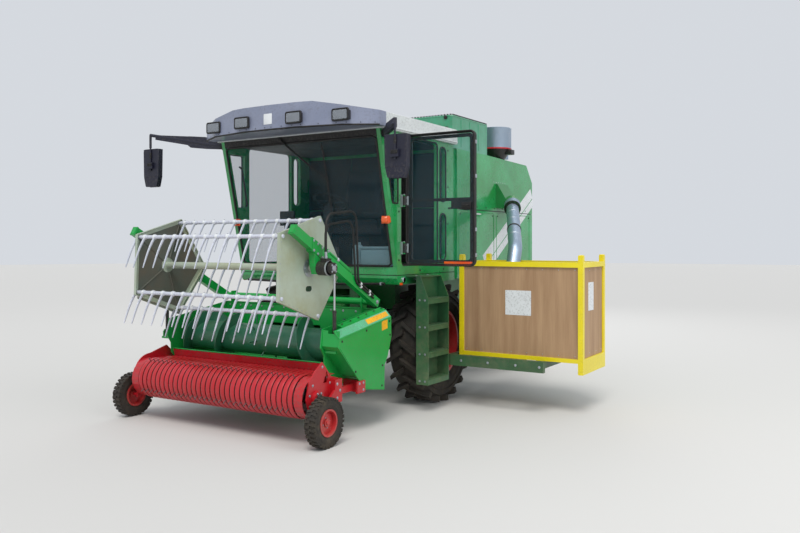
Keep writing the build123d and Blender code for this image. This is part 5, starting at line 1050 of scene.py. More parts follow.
@dataclass
class WheelSet(SubAssembly):
    """Wheel nuts, hub caps, valves and ribs of the tyres' side walls."""

    ribs: tuple[float, ...] = (0.10, 0.16, 0.34, 0.62)
    rib_steps: int = 56
    blocks: int = 34

    def _wheel(self, spec: WheelSpec, side: int, word: str) -> None:
        """Dress one wheel.

        Args:
            spec: Sizes of this kind of wheel.
            side: 1 for the left side, -1 for the right.
            word: The side's name in the body's name.
        """
        body = f"{spec.name}_wheel_{word}"
        out = (side, 0, 0)
        centre = (spec.y, spec.radius)
        disc_x = spec.x + spec.dish + 0.007
        nuts = self.kit(f"{body}_nuts")
        nuts.bolt_circle(side * disc_x, centre, spec.circle, spec.nuts, side, spec.circle * 0.1,
                         spec.circle * 0.12, 15)
        nuts.finish("zinc", "rim_red", body)
        cap = self.kit(f"{body}_hub_cap")
        face = spec.dish + 0.021
        size = spec.rim * 0.17
        cap.lathe(
            [(face - 0.002, size), (face + size * 0.35, size), (face + size * 0.55, size * 0.8),
             (face + size * 0.62, size * 0.4), (face + size * 0.64, 0.0)],
            (side * spec.x, *centre), out, 28,
        )
        cap.finish("rim_red", "rim_red", body)
        ribs = self.kit(f"{body}_sidewall_ribs")
        carcass = spec.radius - spec.radius * 0.065
        flange = spec.rim * 1.055
        for share in self.ribs:
            reach = flange + (carcass - flange) * share
            flare = spec.half * (0.83 + min(share / 0.4, 1) * 0.17) - 0.001
            ring = [
                (side * (spec.x + flare), *polar(centre, reach, 360 * step / self.rib_steps))
                for step in range(self.rib_steps)
            ]
            ribs.tube(ring, spec.radius * 0.006, 6, closed=True)
        ribs.finish("tyre_rubber", "tyre_rubber", body)
        valve = self.kit(f"{body}_valve")
        y, z = polar(centre, spec.rim * 0.86, 75)
        foot = Vector((side * (spec.x + spec.dish * 0.2), y, z))
        valve.tube(
            [foot, foot + Vector((side * spec.rim * 0.09, 0, 0)),
             foot + Vector((side * spec.rim * 0.13, 0, -0.004))], spec.rim * 0.014, 8,
        )
        valve.finish("seal_black", "rim_red", body)
        if spec.name == "gauge":
            self._shoulder_blocks(spec, side, body)

    def _shoulder_blocks(self, spec: WheelSpec, side: int, body: str) -> None:
        """Add the small blocks at both shoulders of a gauge tyre.

        Args:
            spec: Sizes of the gauge wheel.
            side: 1 for the left side, -1 for the right.
            body: CAD body of the wheel.
        """
        blocks = self.kit(f"{body}_shoulder_blocks")
        centre = Vector((side * spec.x, spec.y, spec.radius))
        for edge in (-1, 1):
            for index in range(self.blocks):
                angle = 2 * math.pi * index / self.blocks
                turn = Matrix.Rotation(angle, 4, "X")
                middle = Matrix.Translation(
                    centre + turn @ Vector((edge * spec.half * 0.86, 0, spec.radius - 0.014))
                )
                size = Matrix.Diagonal((0.016, 0.020, 0.016, 1.0))
                bmesh.ops.create_cube(blocks.bm, size=1.0, matrix=middle @ turn @ size)
        blocks.finish("tyre_rubber", "tyre_rubber", body, 20)

    def build(self) -> None:
        """Dress all six wheels."""
        for spec in WHEELS:
            for side, word in ((1, "left"), (-1, "right")):
                self._wheel(spec, side, word)


@dataclass
class Reel(SubAssembly):
    """Tapered tines on their bars, end plate, ring, arm and motor fittings of the reel."""

    centre: Point = (-2.037, 1.475)
    radius: float = 0.440
    half: float = 0.883
    eccentric: Point = (0.052, -0.048)
    angles: tuple[float, ...] = (70.0, 142.0, 214.0, 286.0, 358.0)
    tines: int = 13
    tine_root: Point = (0.0150, 0.0070)
    tine_tip: Point = (0.0055, 0.0042)
    motor_x: float = 1.150
    arm_x: float = 0.970
    arm_foot: Point = (-1.150, 1.130)
    arm_end: Point = (-2.355, 1.800)
    tine_line: tuple[Point, ...] = (
        (0.002, 0.0), (-0.026, -0.040), (-0.054, -0.088), (-0.079, -0.138), (-0.100, -0.188),
        (-0.117, -0.232), (-0.128, -0.260), (-0.137, -0.282),
    )

    def arm_slope(self) -> float:
        """Return the arms' rise for each metre to the rear, which is negative."""
        return (self.arm_end[1] - self.arm_foot[1]) / (self.arm_end[0] - self.arm_foot[0])

    def arm_height(self, y: float) -> float:
        """Return the height of the arms' centre line at a station."""
        return self.arm_foot[1] + self.arm_slope() * (y - self.arm_foot[0])

    def _tine(self, kit: MeshKit, x: float, bar: Point) -> None:
        """Add one flat tine that tapers to its tip.

        Args:
            kit: The piece that gets the tine.
            x: Station along the bar.
            bar: Centre of the bar in y and z.
        """
        last = len(self.tine_line) - 1
        rings = []
        for index, (dy, dz) in enumerate(self.tine_line):
            before = self.tine_line[max(index - 1, 0)]
            after = self.tine_line[min(index + 1, last)]
            run = Vector((0, after[0] - before[0], after[1] - before[1])).normalized()
            across = Vector((0, -run.z, run.y))
            share = index / last
            wide, thin = between(self.tine_root, self.tine_tip, share)
            place = Vector((x, bar[0] + dy, bar[1] + dz))
            rings.append([
                kit.bm.verts.new(
                    place + across * wide * math.cos(turn) + Vector((thin, 0, 0)) * math.sin(turn)
                )
                for turn in (math.pi * (step + 0.5) / 4 for step in range(8))
            ])
        kit.skin(rings)

    def _bat(self, number: int, degrees: float) -> None:
        """Build one bar with its sleeves, tines and crank.

        Args:
            number: Number of the bat in its body's name.
            degrees: Where the bar stands round the reel.
        """
        bar = polar(self.centre, self.radius, degrees)
        crank_x = -self.half - 0.007
        crank = (bar[0] + self.eccentric[0], bar[1] + self.eccentric[1])
        body = f"bat_{number}"
        steel = self.kit(f"bat_{number}_bar_and_tines")
        steel.lathe(
            [(crank_x - 0.008, 0.017), (self.half + 0.008, 0.017), (self.half + 0.010, 0.014)],
            (0, *bar), LEFT, 18,
        )
        sleeves = self.kit(f"bat_{number}_sleeves")
        bolts = self.kit(f"bat_{number}_sleeve_bolts")
        first = -self.half + 0.094
        step = 2 * (self.half - 0.090) / (self.tines - 1)
        rows = [first + index * step for index in range(self.tines)]
        for x in [crank_x - 0.004] + rows:
            self._tine(steel, x, bar)
        for x in rows:
            sleeves.lathe(
                [(-0.013, 0.0185), (-0.011, 0.0225), (-0.003, 0.0235), (0.003, 0.0235),
                 (0.013, 0.0225), (0.015, 0.0185)],
                (x, *bar), LEFT, 18,
            )
            bolts.bolt((x + 0.001, bar[0] - 0.004, bar[1] + 0.023), (0, -0.15, 1), 0.0055, 0.004)
        cheek = [
            (bar[0] - 0.014, bar[1] - 0.014), (bar[0] + 0.014, bar[1] + 0.014),
            (crank[0] + 0.012, crank[1] + 0.012), (crank[0] - 0.012, crank[1] - 0.012),
        ]
        steel.prism(cheek, Axis.X, crank_x - 0.008, crank_x, 0.002)
        steel.lathe([(-0.008, 0.024), (0, 0.024)], (crank_x, *bar), LEFT, 20)
        steel.lathe([(-0.030, 0.009), (-0.028, 0.010), (0, 0.010)], (crank_x, *crank), LEFT, 14)
        made = steel.finish("bat_steel", "bat_steel", body, 45)
        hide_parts(f"reel_bat_{number}")
        sleeves.finish("white_trim", "bat_steel", body)
        bolts.finish("zinc", "bat_steel", body)

    def _plates(self) -> None:
        """Rivet the end plates, flange the left hub and lay painted shade, a dark sheet with the
        plate's ribs, on the right plate's inner face.
        """
        rivets = self.kit("reel_plate_rivets")
        for side in SIDES:
            for start, end in zip(self.angles, self.angles[1:] + self.angles[:1]):
                a, b = (polar(self.centre, 0.462, turn) for turn in (start, end))
                for step in range(1, 9):
                    place = between((side * self.half, *a), (side * self.half, *b), step / 9)
                    rivets.lathe(PLATE_RIVET, place, (side, 0, 0), HEAD_STEPS)
        rivets.bolt_circle(self.half + 0.009, self.centre, 0.060, 6, 1, 0.008)
        rivets.finish("zinc", "reel_grey", "reel")
        hub = self.kit("reel_hub_flange")
        hub.lathe([(0.001, 0.078), (0.006, 0.078), (0.008, 0.064), (0.010, 0.034)],
                  (self.half + 0.002, *self.centre), LEFT, 28)
        hub.finish("zinc", "reel_grey", "reel")
        # A thin dark sheet on the far plate's inner face as painted shade; its tubes are the
        # plate's real ribs, drawn in the same dark finish.
        shade_sheet = self.kit("reel_far_plate_painted_shade")
        face = -self.half + 0.008
        outline = [polar(self.centre, 0.430, turn) for turn in self.angles]
        shade_sheet.prism(outline, Axis.X, face, face + 0.0015)
        for turn in self.angles:
            root, tip = (polar(self.centre, reach, turn) for reach in (0.07, 0.42))
            shade_sheet.tube([(face + 0.004, *root), (face + 0.004, *tip)], 0.007, 6)
        shade_sheet.finish("reel_dark", "reel_grey", "reel")

    def _ring(self) -> None:
        """Edge the eccentric ring with a folded channel and bolt its spokes."""
        centre = (self.centre[0] + self.eccentric[0], self.centre[1] + self.eccentric[1])
        x = -self.half - 0.029
        channel = self.kit("eccentric_ring_channel")
        outline = [(x - 0.003, *polar(centre, 0.452, turn)) for turn in self.angles]
        channel.tube(along_sides(outline, (0.06, 0.5, 0.94)), 0.011, 6, closed=True)
        channel.finish("reel_dark", "reel_grey", "eccentric_ring")
        bolts = self.kit("eccentric_ring_bolts")
        for turn in self.angles:
            for reach in (0.128, 0.40):
                y, z = polar(centre, reach, turn)
                bolts.bolt((x, y, z), RIGHT, 0.009)
            y, z = polar(centre, 0.440, turn)
            bolts.lathe([(0.0, 0.017), (0.010, 0.017), (0.012, 0.013)], (x, y, z), RIGHT, 16)
        bolts.finish("zinc", "reel_grey", "eccentric_ring")

    def _frame(self) -> None:
        """Cap and bolt the arms, clip the hoses and add the rams' glands and motor's rings."""
        slope = self.arm_slope()
        caps, bolts, grips, glands = self.kits(
            "reel_arm_end_caps", "reel_frame_bolts", "reel_hose_clips", "reel_shift_ram_glands"
        )
        along = Vector((0, -1, -slope)).normalized()
        up = Vector((0, slope, -1)).normalized() * -1
        for side in SIDES:
            tip = Vector((side * self.arm_x, *self.arm_end))
            for low, high, far in ((0.0, 0.012, 0.043), (0.010, 0.016, 0.034)):
                caps.skin([
                    [
                        caps.bm.verts.new(
                            tip + along * reach + Vector((dx * (far - 0.010), 0, 0)) + up * dz * far
                        )
                        for dx, dz in ((-1, -1), (1, -1), (1, 1), (-1, 1))
                    ]
                    for reach in (low, high)
                ])
            for dy in (-0.085, -0.03, 0.03, 0.085):
                y = self.centre[0] + dy
                z = self.arm_height(y)
                bolts.bolt_row(side * 1.005, ((y, z - 0.042), (y, z + 0.042)), side, 0.009)
            for y in (-1.887, -1.567):
                z = self.arm_height(y) + 0.080
                bolts.bolt((side * 0.980, y, z), (side, 0, 0), 0.011)
                bolts.bolt((side * 0.960, y, z), (-side, 0, 0), 0.011)
            y = -1.747
            place = (side * self.arm_x, y, self.arm_height(y) + 0.080)
            glands.lathe([(-0.012, 0.0215), (0.006, 0.0215), (0.010, 0.016)], place,
                         (0, -1, -slope), 18)
            bolts.bolt((side * 1.000, *self.arm_foot), (side, 0, 0), 0.016, 0.010)
        for y, rise in ((-1.44, 0.026), (-1.30, 0.026), (-1.44, -0.002), (-1.30, -0.002)):
            z = self.arm_height(y) + rise
            grips.lathe([(-0.010, 0.0115), (-0.010, 0.0135), (0.010, 0.0135), (0.010, 0.0115)],
                        (1.0103, y, z), along, 16)
        bolts.finish("zinc", "header_green", "reel_frame")
        caps.finish("header_green", "header_green", "reel_frame")
        grips.finish("white_trim", "hose_rubber", "reel_frame")
        glands.finish("zinc", "header_green", "reel_frame")
        ends = self.kit("reel_motor_ring")
        ends.lathe([(0.0, 0.046), (0.0, 0.0635), (0.016, 0.0635), (0.016, 0.050)],
                   (1.094, *self.centre), LEFT, 32)
        ends.lathe([(0.0, 0.026), (0.008, 0.024), (0.011, 0.0)],
                   (self.motor_x, *self.centre), LEFT, 20)
        ends.bolt_circle(self.motor_x, self.centre, 0.038, 4, 1, 0.007, turn=45)
        for x, y in ((1.065, -2.037), (1.045, -2.017)):
            ends.lathe([(0.0, 0.014), (0.020, 0.014), (0.020, 0.0115), (0.055, 0.0115)],
                       (x, y, 1.559), UP, 12)
        ends.finish("zinc", "motor_black", "reel_frame")

    def build(self) -> None:
        """Make every piece of the reel."""
        for number, degrees in enumerate(self.angles, 1):
            self._bat(number, degrees)
        self._plates()
        self._ring()
        self._frame()


@dataclass
class Header(SubAssembly):
    """Trim, blank plates, bolts and seams of the header, its drive and the feeder house."""

    left_x: float = 1.150
    nose_y: float = -1.959
    rise: float = 128 / 815
    bevel_fall: float = 60 / 56
    strip_fall: float = 0.36
    auger: Point = (-1.62, 0.76)
    wall_x: float = 0.950
    drive_x: float = -1.012
    house_foot: Point = (-1.14, 0.90)
    house_rise: float = (1.20 - 0.90) / (1.14 - 0.38)

    def _shield(self) -> None:
        """Dress the left end shield and its bevelled top, with a painted sky highlight on the
        bevel.
        """
        bolts = self.kit("header_shield_bolts")
        places = ((-1.92, 0.845), (-1.72, 0.56), (-1.58, 0.43), (-1.30, 0.375), (-1.29, 0.56),
                  (-1.16, 0.83), (-1.17, 0.96), (-1.55, 0.905))
        bolts.bolt_row(self.left_x, places, 1, 0.008)
        for step in range(6):
            y = -1.80 + 0.125 * step
            z = 0.9545 + (y - self.nose_y) * self.rise
            bolts.bolt((1.062, y, z), (0, -self.rise * 0.4, 1), 0.007)
        bolts.finish("cylinder_black", "header_green", "header")
        seam = self.kit("header_shield_seam")
        low_line = ((-1.955, 0.795), (-1.70, 0.512), (-1.585, 0.390), (-1.262, 0.338))
        seam.tube([(self.left_x, y, z) for y, z in low_line], 0.005, 8)
        seam.tube([(1.1495, -1.955, 0.868), (1.1495, -1.144, 0.9955)], 0.0045, 8)
        seam.finish("header_green", "header_green", "header")
        # A thin lighter-green sheet over the bevel: a painted highlight of the sky on the upward
        # chamfer, not a paint of its own.
        skin = self.kit("header_bevel_painted_highlight")
        skin.prism([(1.149, -1.950), (1.097, -1.950), (1.097, -1.150), (1.149, -1.150)], Axis.Z,
                   0.8735, 0.8750)
        plate = self.kit("header_blank_plates")
        plate.prism([(1.140, -1.510), (1.106, -1.510), (1.106, -1.170), (1.140, -1.170)], Axis.Z,
                    0.8755, 0.8770)
        for vert in (*skin.bm.verts, *plate.bm.verts):
            vert.co.z += (vert.co.y - self.nose_y) * self.rise
            vert.co.z += (self.left_x - vert.co.x) * self.bevel_fall
        plate.prism([(-1.300, 0.880), (-1.205, 0.895), (-1.205, 0.980), (-1.300, 0.965)], Axis.X,
                    self.left_x, self.left_x + 0.0014)
        skin.finish("bevel_painted_highlight", "header_green", "header")
        plate.finish("plate_yellow", "header_green", "header")
        strip = self.kit("header_top_strip")
        strip.prism(
            [(1.032, -1.835), (1.092, -1.835), (1.092, -1.150), (1.032, -1.150)], Axis.Z,
            0.955, 0.957,
        )
        for vert in strip.bm.verts:
            vert.co.z += (vert.co.y - self.nose_y) * self.rise
            vert.co.z += (1.030 - vert.co.x) * self.strip_fall
        strip.finish("header_green", "header_green", "header")

    def _inner(self) -> None:
        """Bolt the trough's rear wall and the auger's bearings and bead the trough's edge."""
        bolts = self.kit("header_trough_bolts")
        for index in range(13):
            x = -0.90 + 0.15 * index
            bolts.bolt((x, -1.1490, 1.03), AHEAD, 0.008)
        for side in SIDES:
            bolts.bolt_circle(side * self.wall_x, self.auger, 0.075, 5, -side, 0.009, turn=18)
        bolts.finish("zinc", "header_green", "header")
        edge = self.kit("header_trough_edge")
        edge.tube([(-0.949, -1.144, 1.060), (0.949, -1.144, 1.060)], 0.009, 10)
        edge.finish("header_green", "header_green", "header")

    def _drive(self) -> None:
        """Bolt the drive case and fit the ports of its motor."""
        bolts = self.kit("header_drive_bolts")
        places = ((-1.82, 0.72), (-1.70, 0.865), (-1.55, 0.868), (-1.25, 0.845), (-1.22, 0.76),
                  (-1.30, 0.71), (-1.56, 0.615), (-1.74, 0.615))
        bolts.bolt_row(self.drive_x, places, -1, 0.008)
        bolts.bolt_circle(self.drive_x - 0.012, self.auger, 0.092, 6, -1, 0.008)
        bolts.finish("zinc", "motor_black", "header")
        ports = self.kit("header_drive_ports")
        for y in (-1.775, -1.735):
            ports.lathe([(0, 0.012), (0.012, 0.012), (0.012, 0.009), (0.030, 0.009)],
                        (-1.055, y, 0.700), UP, 10)
        ports.finish("zinc", "motor_black", "header")

    def _feeder(self) -> None:
        """Rib the feeder house's roof and bolt its side walls."""
        ribs, bolts = self.kits("feeder_ribs", "feeder_bolts")
        for y in (-1.02, -0.80, -0.58):
            z = self.house_foot[1] + (y - self.house_foot[0]) * self.house_rise
            ribs.prism([(y - 0.012, z), (y + 0.012, z + 0.024 * self.house_rise),
                        (y + 0.012, z + 0.02), (y - 0.012, z + 0.016)],
                       Axis.X, -0.325, 0.325, 0.002)
        for side in SIDES:
            for y in (-1.08, -0.92, -0.76, -0.60):
                z = self.house_foot[1] - 0.04 + (y - self.house_foot[0]) * self.house_rise
                bolts.bolt((side * 0.330, y, z), (side, 0, 0), 0.009)
        ribs.finish("body_green", "body_green", "header")
        bolts.finish("zinc", "body_green", "header")

    def build(self) -> None:
        """Make every piece of the header."""
        self._shield()
        self._inner()
        self._drive()
        self._feeder()


@dataclass
class Cab(SubAssembly):
    """Seals, lamps, mirrors, wiper, lining, door fittings and the driver's place."""

    wall_x: float = 1.030
    sunk_x: float = 1.022
    rear_window_y: Point = (0.020, 0.145)
    door_way_y: Point = (-0.760, -0.025)
    door_low: Point = (1.092, 1.468)
    door_high: Point = (1.847, 2.752)
    roof_end_y: float = 0.34
    crown_steps: int = 14
    wheel_radius: float = 0.184
    wheel_steps: int = 40
    head: float = 2.780
    sill: float = 1.450
    foot_y: float = -0.844
    rake: float = 0.23

    def screen(self, z: float) -> float:
        """Return the station in y of the windscreen's face at a height."""
        return self.foot_y - self.rake * (z - self.sill)

    def _seals(self) -> None:
        """Run rubber beads round the windows and the doorway and draw the sill's line."""
        seals = self.kit("cab_window_seals")
        low, high, wide = self.sill + 0.012, self.head - 0.068, 0.972
        screen = along_sides(((wide, high), (-wide, high), (-wide, low), (wide, low)),
                             (0.02, 0.5, 0.98))
        ring = [(x, self.screen(z) - 0.002, z) for x, z in screen]
        seals.tube(ring, 0.012, 8, closed=True)
        for side in SIDES:
            for y0, y1, z0, z1, size, face in (
                (*self.rear_window_y, self.sill + 0.062, self.sill + 0.552, 0.058, self.wall_x),
                (*self.rear_window_y, self.sill + 0.692, self.head - 0.062, 0.058, self.wall_x),
                (*self.door_way_y, self.sill + 0.018, self.head - 0.028, 0.050, self.sunk_x),
            ):
                outline = loop_points((y0 - 0.004, z0 - 0.004), (y1 + 0.004, z1 + 0.004), size)
                loop = [(side * (face + 0.001), y, z) for y, z in outline]
                seals.tube(loop, 0.009, 8, closed=True)
            quarter = [(side * (self.wall_x + 0.001), y, z) for y, z in (
                (-0.934, 2.080), (-1.068, 2.660), (-0.830, 2.660), (-0.830, 2.080))]
            seals.tube(along_sides(quarter, (0.05, 0.5, 0.95)), 0.008, 8, closed=True)
        seals.finish("seal_black", "black_plastic")
        lines = self.kit("cab_sill_lines")
        for side in SIDES:
            lines.side_box(side, (1.0258, -0.844, 1.368), (1.0266, 0.35, 1.374))
        lines.box((-1.03, -0.8402, 1.368), (1.03, -0.8394, 1.374))
        lines.finish("seal_black", "black_plastic")

    def _wiper(self) -> None:
        """Hang the long wiper at the windscreen's head and lay the black band across it."""
        wiper = self.kit("cab_wiper")
        pivot = Vector((-0.205, self.screen(2.755) - 0.018, 2.755))
        middle = Vector((0.333, self.screen(2.340) - 0.040, 2.340))
        wiper.lathe([(0, 0.026), (0.018, 0.024), (0.026, 0.0)], pivot + Vector((0, 0.014, 0)),
                    (0, -1, -0.2), 16)
        wiper.tube([pivot, between(pivot, middle, 0.5) + Vector((0, -0.016, 0)), middle],
                   (0.012, 0.010, 0.007), 8)
        ends = [Vector((x, self.screen(z) - 0.022, z)) for x, z in ((0.333, 2.680), (0.340, 1.990))]
        wiper.tube([ends[0], between(*ends, 0.5), ends[1]], (0.006, 0.010, 0.006), 6)
        wiper.tube([middle, between(*ends, 0.49)], 0.006, 6)
        wiper.finish("seal_black", "black_plastic")
        band = self.kit("cab_screen_band")
        low, high = 2.714, 2.786
        band.prism([(self.screen(low) - 0.0035, low), (self.screen(high) - 0.0035, high),
                    (self.screen(high) - 0.0005, high), (self.screen(low) - 0.0005, low)],
                   Axis.X, -0.985, 0.985)
        band.finish("seal_black", "panel_green")

    def _lining(self) -> None:
        """Line the cab's rear wall and roof in dark trim and lay its floor mat."""
        lining = self.kit("cab_lining")
        for x0, x1 in ((-0.965, -0.330), (-0.322, 0.322), (0.330, 0.965)):
            for z0, z1 in ((1.470, 2.080), (2.088, 2.700)):
                lining.box((x0, 0.290, z0), (x1, 0.303, z1), 0.005)
        for y0, y1 in ((-1.000, -0.360), (-0.352, 0.285)):
            lining.box((-0.960, y0, 2.735), (0.960, y1, 2.755), 0.008)
        lining.finish("black_plastic", "console_plastic")
        mat = self.kit("cab_floor_mat")
        mat.box((-0.950, -0.790, 1.4505), (0.950, 0.285, 1.4565), 0.002)
        for index in range(16):
            y = -0.760 + 0.066 * index
            mat.tube([(-0.930, y, 1.457), (0.930, y, 1.457)], 0.0035, 6)
        mat.finish("seal_black", "console_plastic")

    def _lamps(self) -> None:
        """Fit the visor's lamps with bowls, lenses and frames, and add the small lamps."""
        frames, bowls, lenses = self.kits("work_lamp_frames", "work_lamp_bowls", "work_lamp_lenses")
        for x, reach in ((0.810, 0.310), (0.330, 0.405)):
            for side in SIDES:
                y = -1.1499 - reach - 0.030
                low, high = (side * x - 0.090, 2.828), (side * x + 0.090, 2.934)
                outline = loop_points(low, high, 0.016)
                frames.tube([(px, y, pz) for px, pz in outline], 0.007, 8, closed=True)
                inner = loop_points((low[0] + 0.010, low[1] + 0.010),
                                    (high[0] - 0.010, high[1] - 0.010), 0.012)
                bowls.prism(inner, Axis.Y, y - 0.001, y + 0.001)
                lenses.prism(inner, Axis.Y, y - 0.006, y - 0.003, 0.0015)
        for side in SIDES:
            for y, size in ((-0.730, 0.026), (-0.490, 0.018)):
                bowls.lathe([(0.0, size), (0.012, size * 1.05), (0.016, size * 0.9), (0.018, 0.0)],
                            (side * 1.029, y, 1.324), (side, 0, 0), 20)
        frames.finish("seal_black", "lamp_plastic")
        bowls.finish("mirror_glass", "lamp_plastic")
        lenses.finish("lamp_glass", "lamp_plastic")
        amber, bases = self.kits("indicator_lamps", "indicator_bases")
        for side in SIDES:
            face = self.screen(1.88)
            bases.side_box(side, (0.930, face - 0.030, 1.878), (1.018, face - 0.014, 1.954), 0.004)
            bases.side_box(side, (0.986, face - 0.020, 1.890), (1.024, face - 0.002, 1.942), 0.002)
            amber.lathe([(0.0, 0.036), (0.018, 0.035), (0.026, 0.026), (0.029, 0.0)],
                        (side * 0.974, face - 0.030, 1.916), AHEAD, 24)
            amber.side_box(side, (1.029, -0.795, 1.272), (1.036, -0.745, 1.296), 0.002)
        amber.finish("lamp_orange", "lamp_plastic")
        bases.finish("lamp_orange", "lamp_plastic")

    def _visor(self) -> None:
        """Add the visor's blank plate, bead and screws and the roof's gutters and vent."""
        plate = self.kit("visor_blank_plate")
        plate.prism(loop_points((-0.052, 2.842), (0.052, 2.946), 0.008), Axis.Y, -1.569, -1.5655,
                    0.001)
        plate.finish("white_trim", "visor_grey")
        bead = self.kit("visor_lower_bead")
        line = [(-1.114, -1.283), (-0.810, -1.460), (-0.330, -1.555), (0.0, -1.567),
                (0.330, -1.555), (0.810, -1.460), (1.114, -1.283)]
        bead.tube([(x, y + 0.004, 2.792) for x, y in line], 0.009, 8)
        bead.finish("seal_black", "visor_grey")
        roof = self.kit("roof_gutters")
        for side in SIDES:
            for x, z, size in ((side * 1.071, 2.800, 0.010), (side * 1.060, 2.934, 0.008)):
                roof.tube([(x, -1.165, z), (x, self.roof_end_y, z)], size, 8)
        roof.tube([(0.0, -1.14, 3.028), (0.0, 0.33, 3.028)], 0.008, 8)
        roof.finish("roof_white", "panel_green")
        vent = self.kit("roof_vent")
        vent.lathe([(-0.004, 0.130), (0.012, 0.130), (0.022, 0.122), (0.034, 0.080), (0.038, 0.0)],
                   (0.60, 0.054, 3.012), (0.16, 0, 1), 32)
        vent.finish("seal_black", "black_plastic")
        screws = self.kit("visor_screws")
        for (x0, y0), (x1, y1) in zip(line, line[1:]):
            out = Vector((y1 - y0, -(x1 - x0), 0)).normalized()
            for share in (0.12, 0.5, 0.88):
                x, y = x0 + (x1 - x0) * share, y0 + (y1 - y0) * share
                screws.lathe(ROUND_SCREW, (x, y, 2.812), out, HEAD_STEPS)
        screws.finish("seal_black", "visor_grey")

    def _mirrors(self) -> None:
        """Rim and glaze both mirror heads and add their clamps and the blades of their arms."""
        rims, glass, clamps = self.kits("mirror_rims", "mirror_faces", "mirror_clamps")
        heads = (
            (1, Vector((1.400, -1.470, 2.465)), 0.235, 0.386),
            (-1, Vector((-2.100, -1.200, 2.555)), 0.250, 0.430),
        )
        for side, middle, wide, tall in heads:
            x, y, z = middle
            half = wide / 2
            outline = [(x - half, z + tall / 2), (x + half, z + tall / 2),
                       (x + half * 0.94, z - tall * 0.24), (x + half * 0.7, z - tall / 2),
                       (x - half * 0.7, z - tall / 2), (x - half * 0.94, z - tall * 0.24)]
            front = along_sides(outline, (0.08, 0.5, 0.92))
            rims.tube([(px, y + 0.064, pz) for px, pz in front], 0.005, 8, closed=True)
            rims.tube([(px, y + 0.010, pz) for px, pz in front], 0.0035, 8, closed=True)
            inner = [(x + (px - x) * 0.9, z + (pz - z) * 0.93) for px, pz in outline]
            glass.prism(inner, Axis.Y, y + 0.0695, y + 0.0715)
            clamps.box((x - 0.036, y - 0.020, z + 0.018), (x + 0.036, y - 0.012, z + 0.052), 0.003)
            for dx in (-0.024, 0.024):
                clamps.bolt((x + dx, y - 0.020, z + 0.035), AHEAD, 0.006)
            clamps.lathe([(-0.03, 0.013), (0.03, 0.013)], (x, y, z + 0.14), UP, 14)
            root = Vector((side * 1.043, -1.095, 2.740))
            towards = middle - root if side > 0 else (-1, 0, 0.1)
            clamps.lathe([(0.0, 0.034), (0.020, 0.034), (0.026, 0.024), (0.050, 0.021)], root,
                         towards, 18)
            rims.tube([(x - half * 0.94, y + 0.009, z - tall * 0.24),
                       (x + half * 0.94, y + 0.009, z - tall * 0.24)], 0.003, 6)
        blade = self.kit("mirror_arm_blades")
        for thick, sections in (
            ((0.011, 0.011), ((1.048, -1.101, 2.702, 2.778), (1.130, -1.185, 2.704, 2.782),
                              (1.150, -1.205, 2.706, 2.806), (1.385, -1.440, 2.724, 2.812))),
            ((0.0, 0.011), ((-1.048, -1.096, 2.712, 2.800), (-1.297, -1.120, 2.731, 2.862),
                            (-1.500, -1.140, 2.755, 2.882), (-1.545, -1.145, 2.786, 2.884),
                            (-2.015, -1.192, 2.872, 2.926))),
        ):
            blade.skin([
                [blade.bm.verts.new((x + turn * thick[0], y + turn * thick[1], z))
                 for turn, z in ((-1, low), (1, low), (1, high), (-1, high))]
                for x, y, low, high in sections
            ])
        blade.tube([(-2.100, -1.200, 2.928), (-2.100, -1.200, 2.782)], 0.014, 10)
        blade.finish("mirror_navy", "black_plastic")
        rims.finish("mirror_navy", "black_plastic")
        glass.finish("mirror_glass", "black_plastic")
        clamps.finish("seal_black", "black_plastic")

    def _door(self) -> None:
        """Seal the door and add its latch, outer handle, clips, hinges and blank plate."""
        (left, low), (right, high) = self.door_low, self.door_high
        seal = self.kit("door_seal")
        for inset, y, size in ((0.006, -0.782, 0.007), (0.020, -0.769, 0.006)):
            outline = loop_points((left + inset, low + inset), (right - inset, high - inset),
                                  0.052 - inset)
            seal.tube([(x, y, z) for x, z in outline], size, 8, closed=True)
        seal.finish("seal_black", "black_plastic", "cab_door")
        latch = self.kit("door_latch")
        latch.box((right - 0.150, -0.718, 2.012), (right - 0.052, -0.704, 2.050), 0.006)
        latch.tube([(right - 0.200, -0.706, 2.030), (right - 0.230, -0.690, 2.028),
                    (right - 0.330, -0.690, 2.024)], 0.009, 10)
        latch.finish("cylinder_black", "black_plastic", "cab_door")
        outer = self.kit("door_outer_handle")
        outer.box((right - 0.140, -0.786, 2.010), (right - 0.040, -0.7705, 2.075), 0.006)
        outer.tube([(right - 0.120, -0.786, 2.045), (right - 0.115, -0.806, 2.045),
                    (right - 0.065, -0.806, 2.045), (right - 0.060, -0.786, 2.045)], 0.007, 10)
        outer.finish("seal_black", "black_plastic", "cab_door")
        clips = self.kit("door_clips")
        for z in (1.56, 1.80, 2.30, 2.62):
            clips.box((right - 0.004, -0.776, z), (right + 0.006, -0.748, z + 0.034), 0.002)
        for z in (1.640, 2.105):
            for dz in (-0.026, 0.026):
                clips.bolt((1.104, -0.780, z + dz), AHEAD, 0.007)
            for dz in (-0.0535, 0.0535):
                clips.bolt((1.050, -0.7935, z + dz), AHEAD, 0.005)
            clips.lathe([(0.060, 0.011), (0.065, 0.011), (0.067, 0.0)], (1.072, -0.780, z), UP, 12)
            clips.box((1.086, -0.7835, z - 0.044), (1.124, -0.7802, z + 0.044), 0.001)
            clips.box((1.036, -0.7970, z - 0.062), (1.064, -0.7937, z + 0.062), 0.001)
        clips.finish("zinc", "black_plastic", "cab_door")
        plate = self.kit("door_blank_plate")
        plate.prism(loop_points((1.515, 1.480), (1.815, 1.514), 0.004), Axis.Y, -0.7725, -0.7702)
        plate.finish("lamp_orange", "black_plastic", "cab_door")

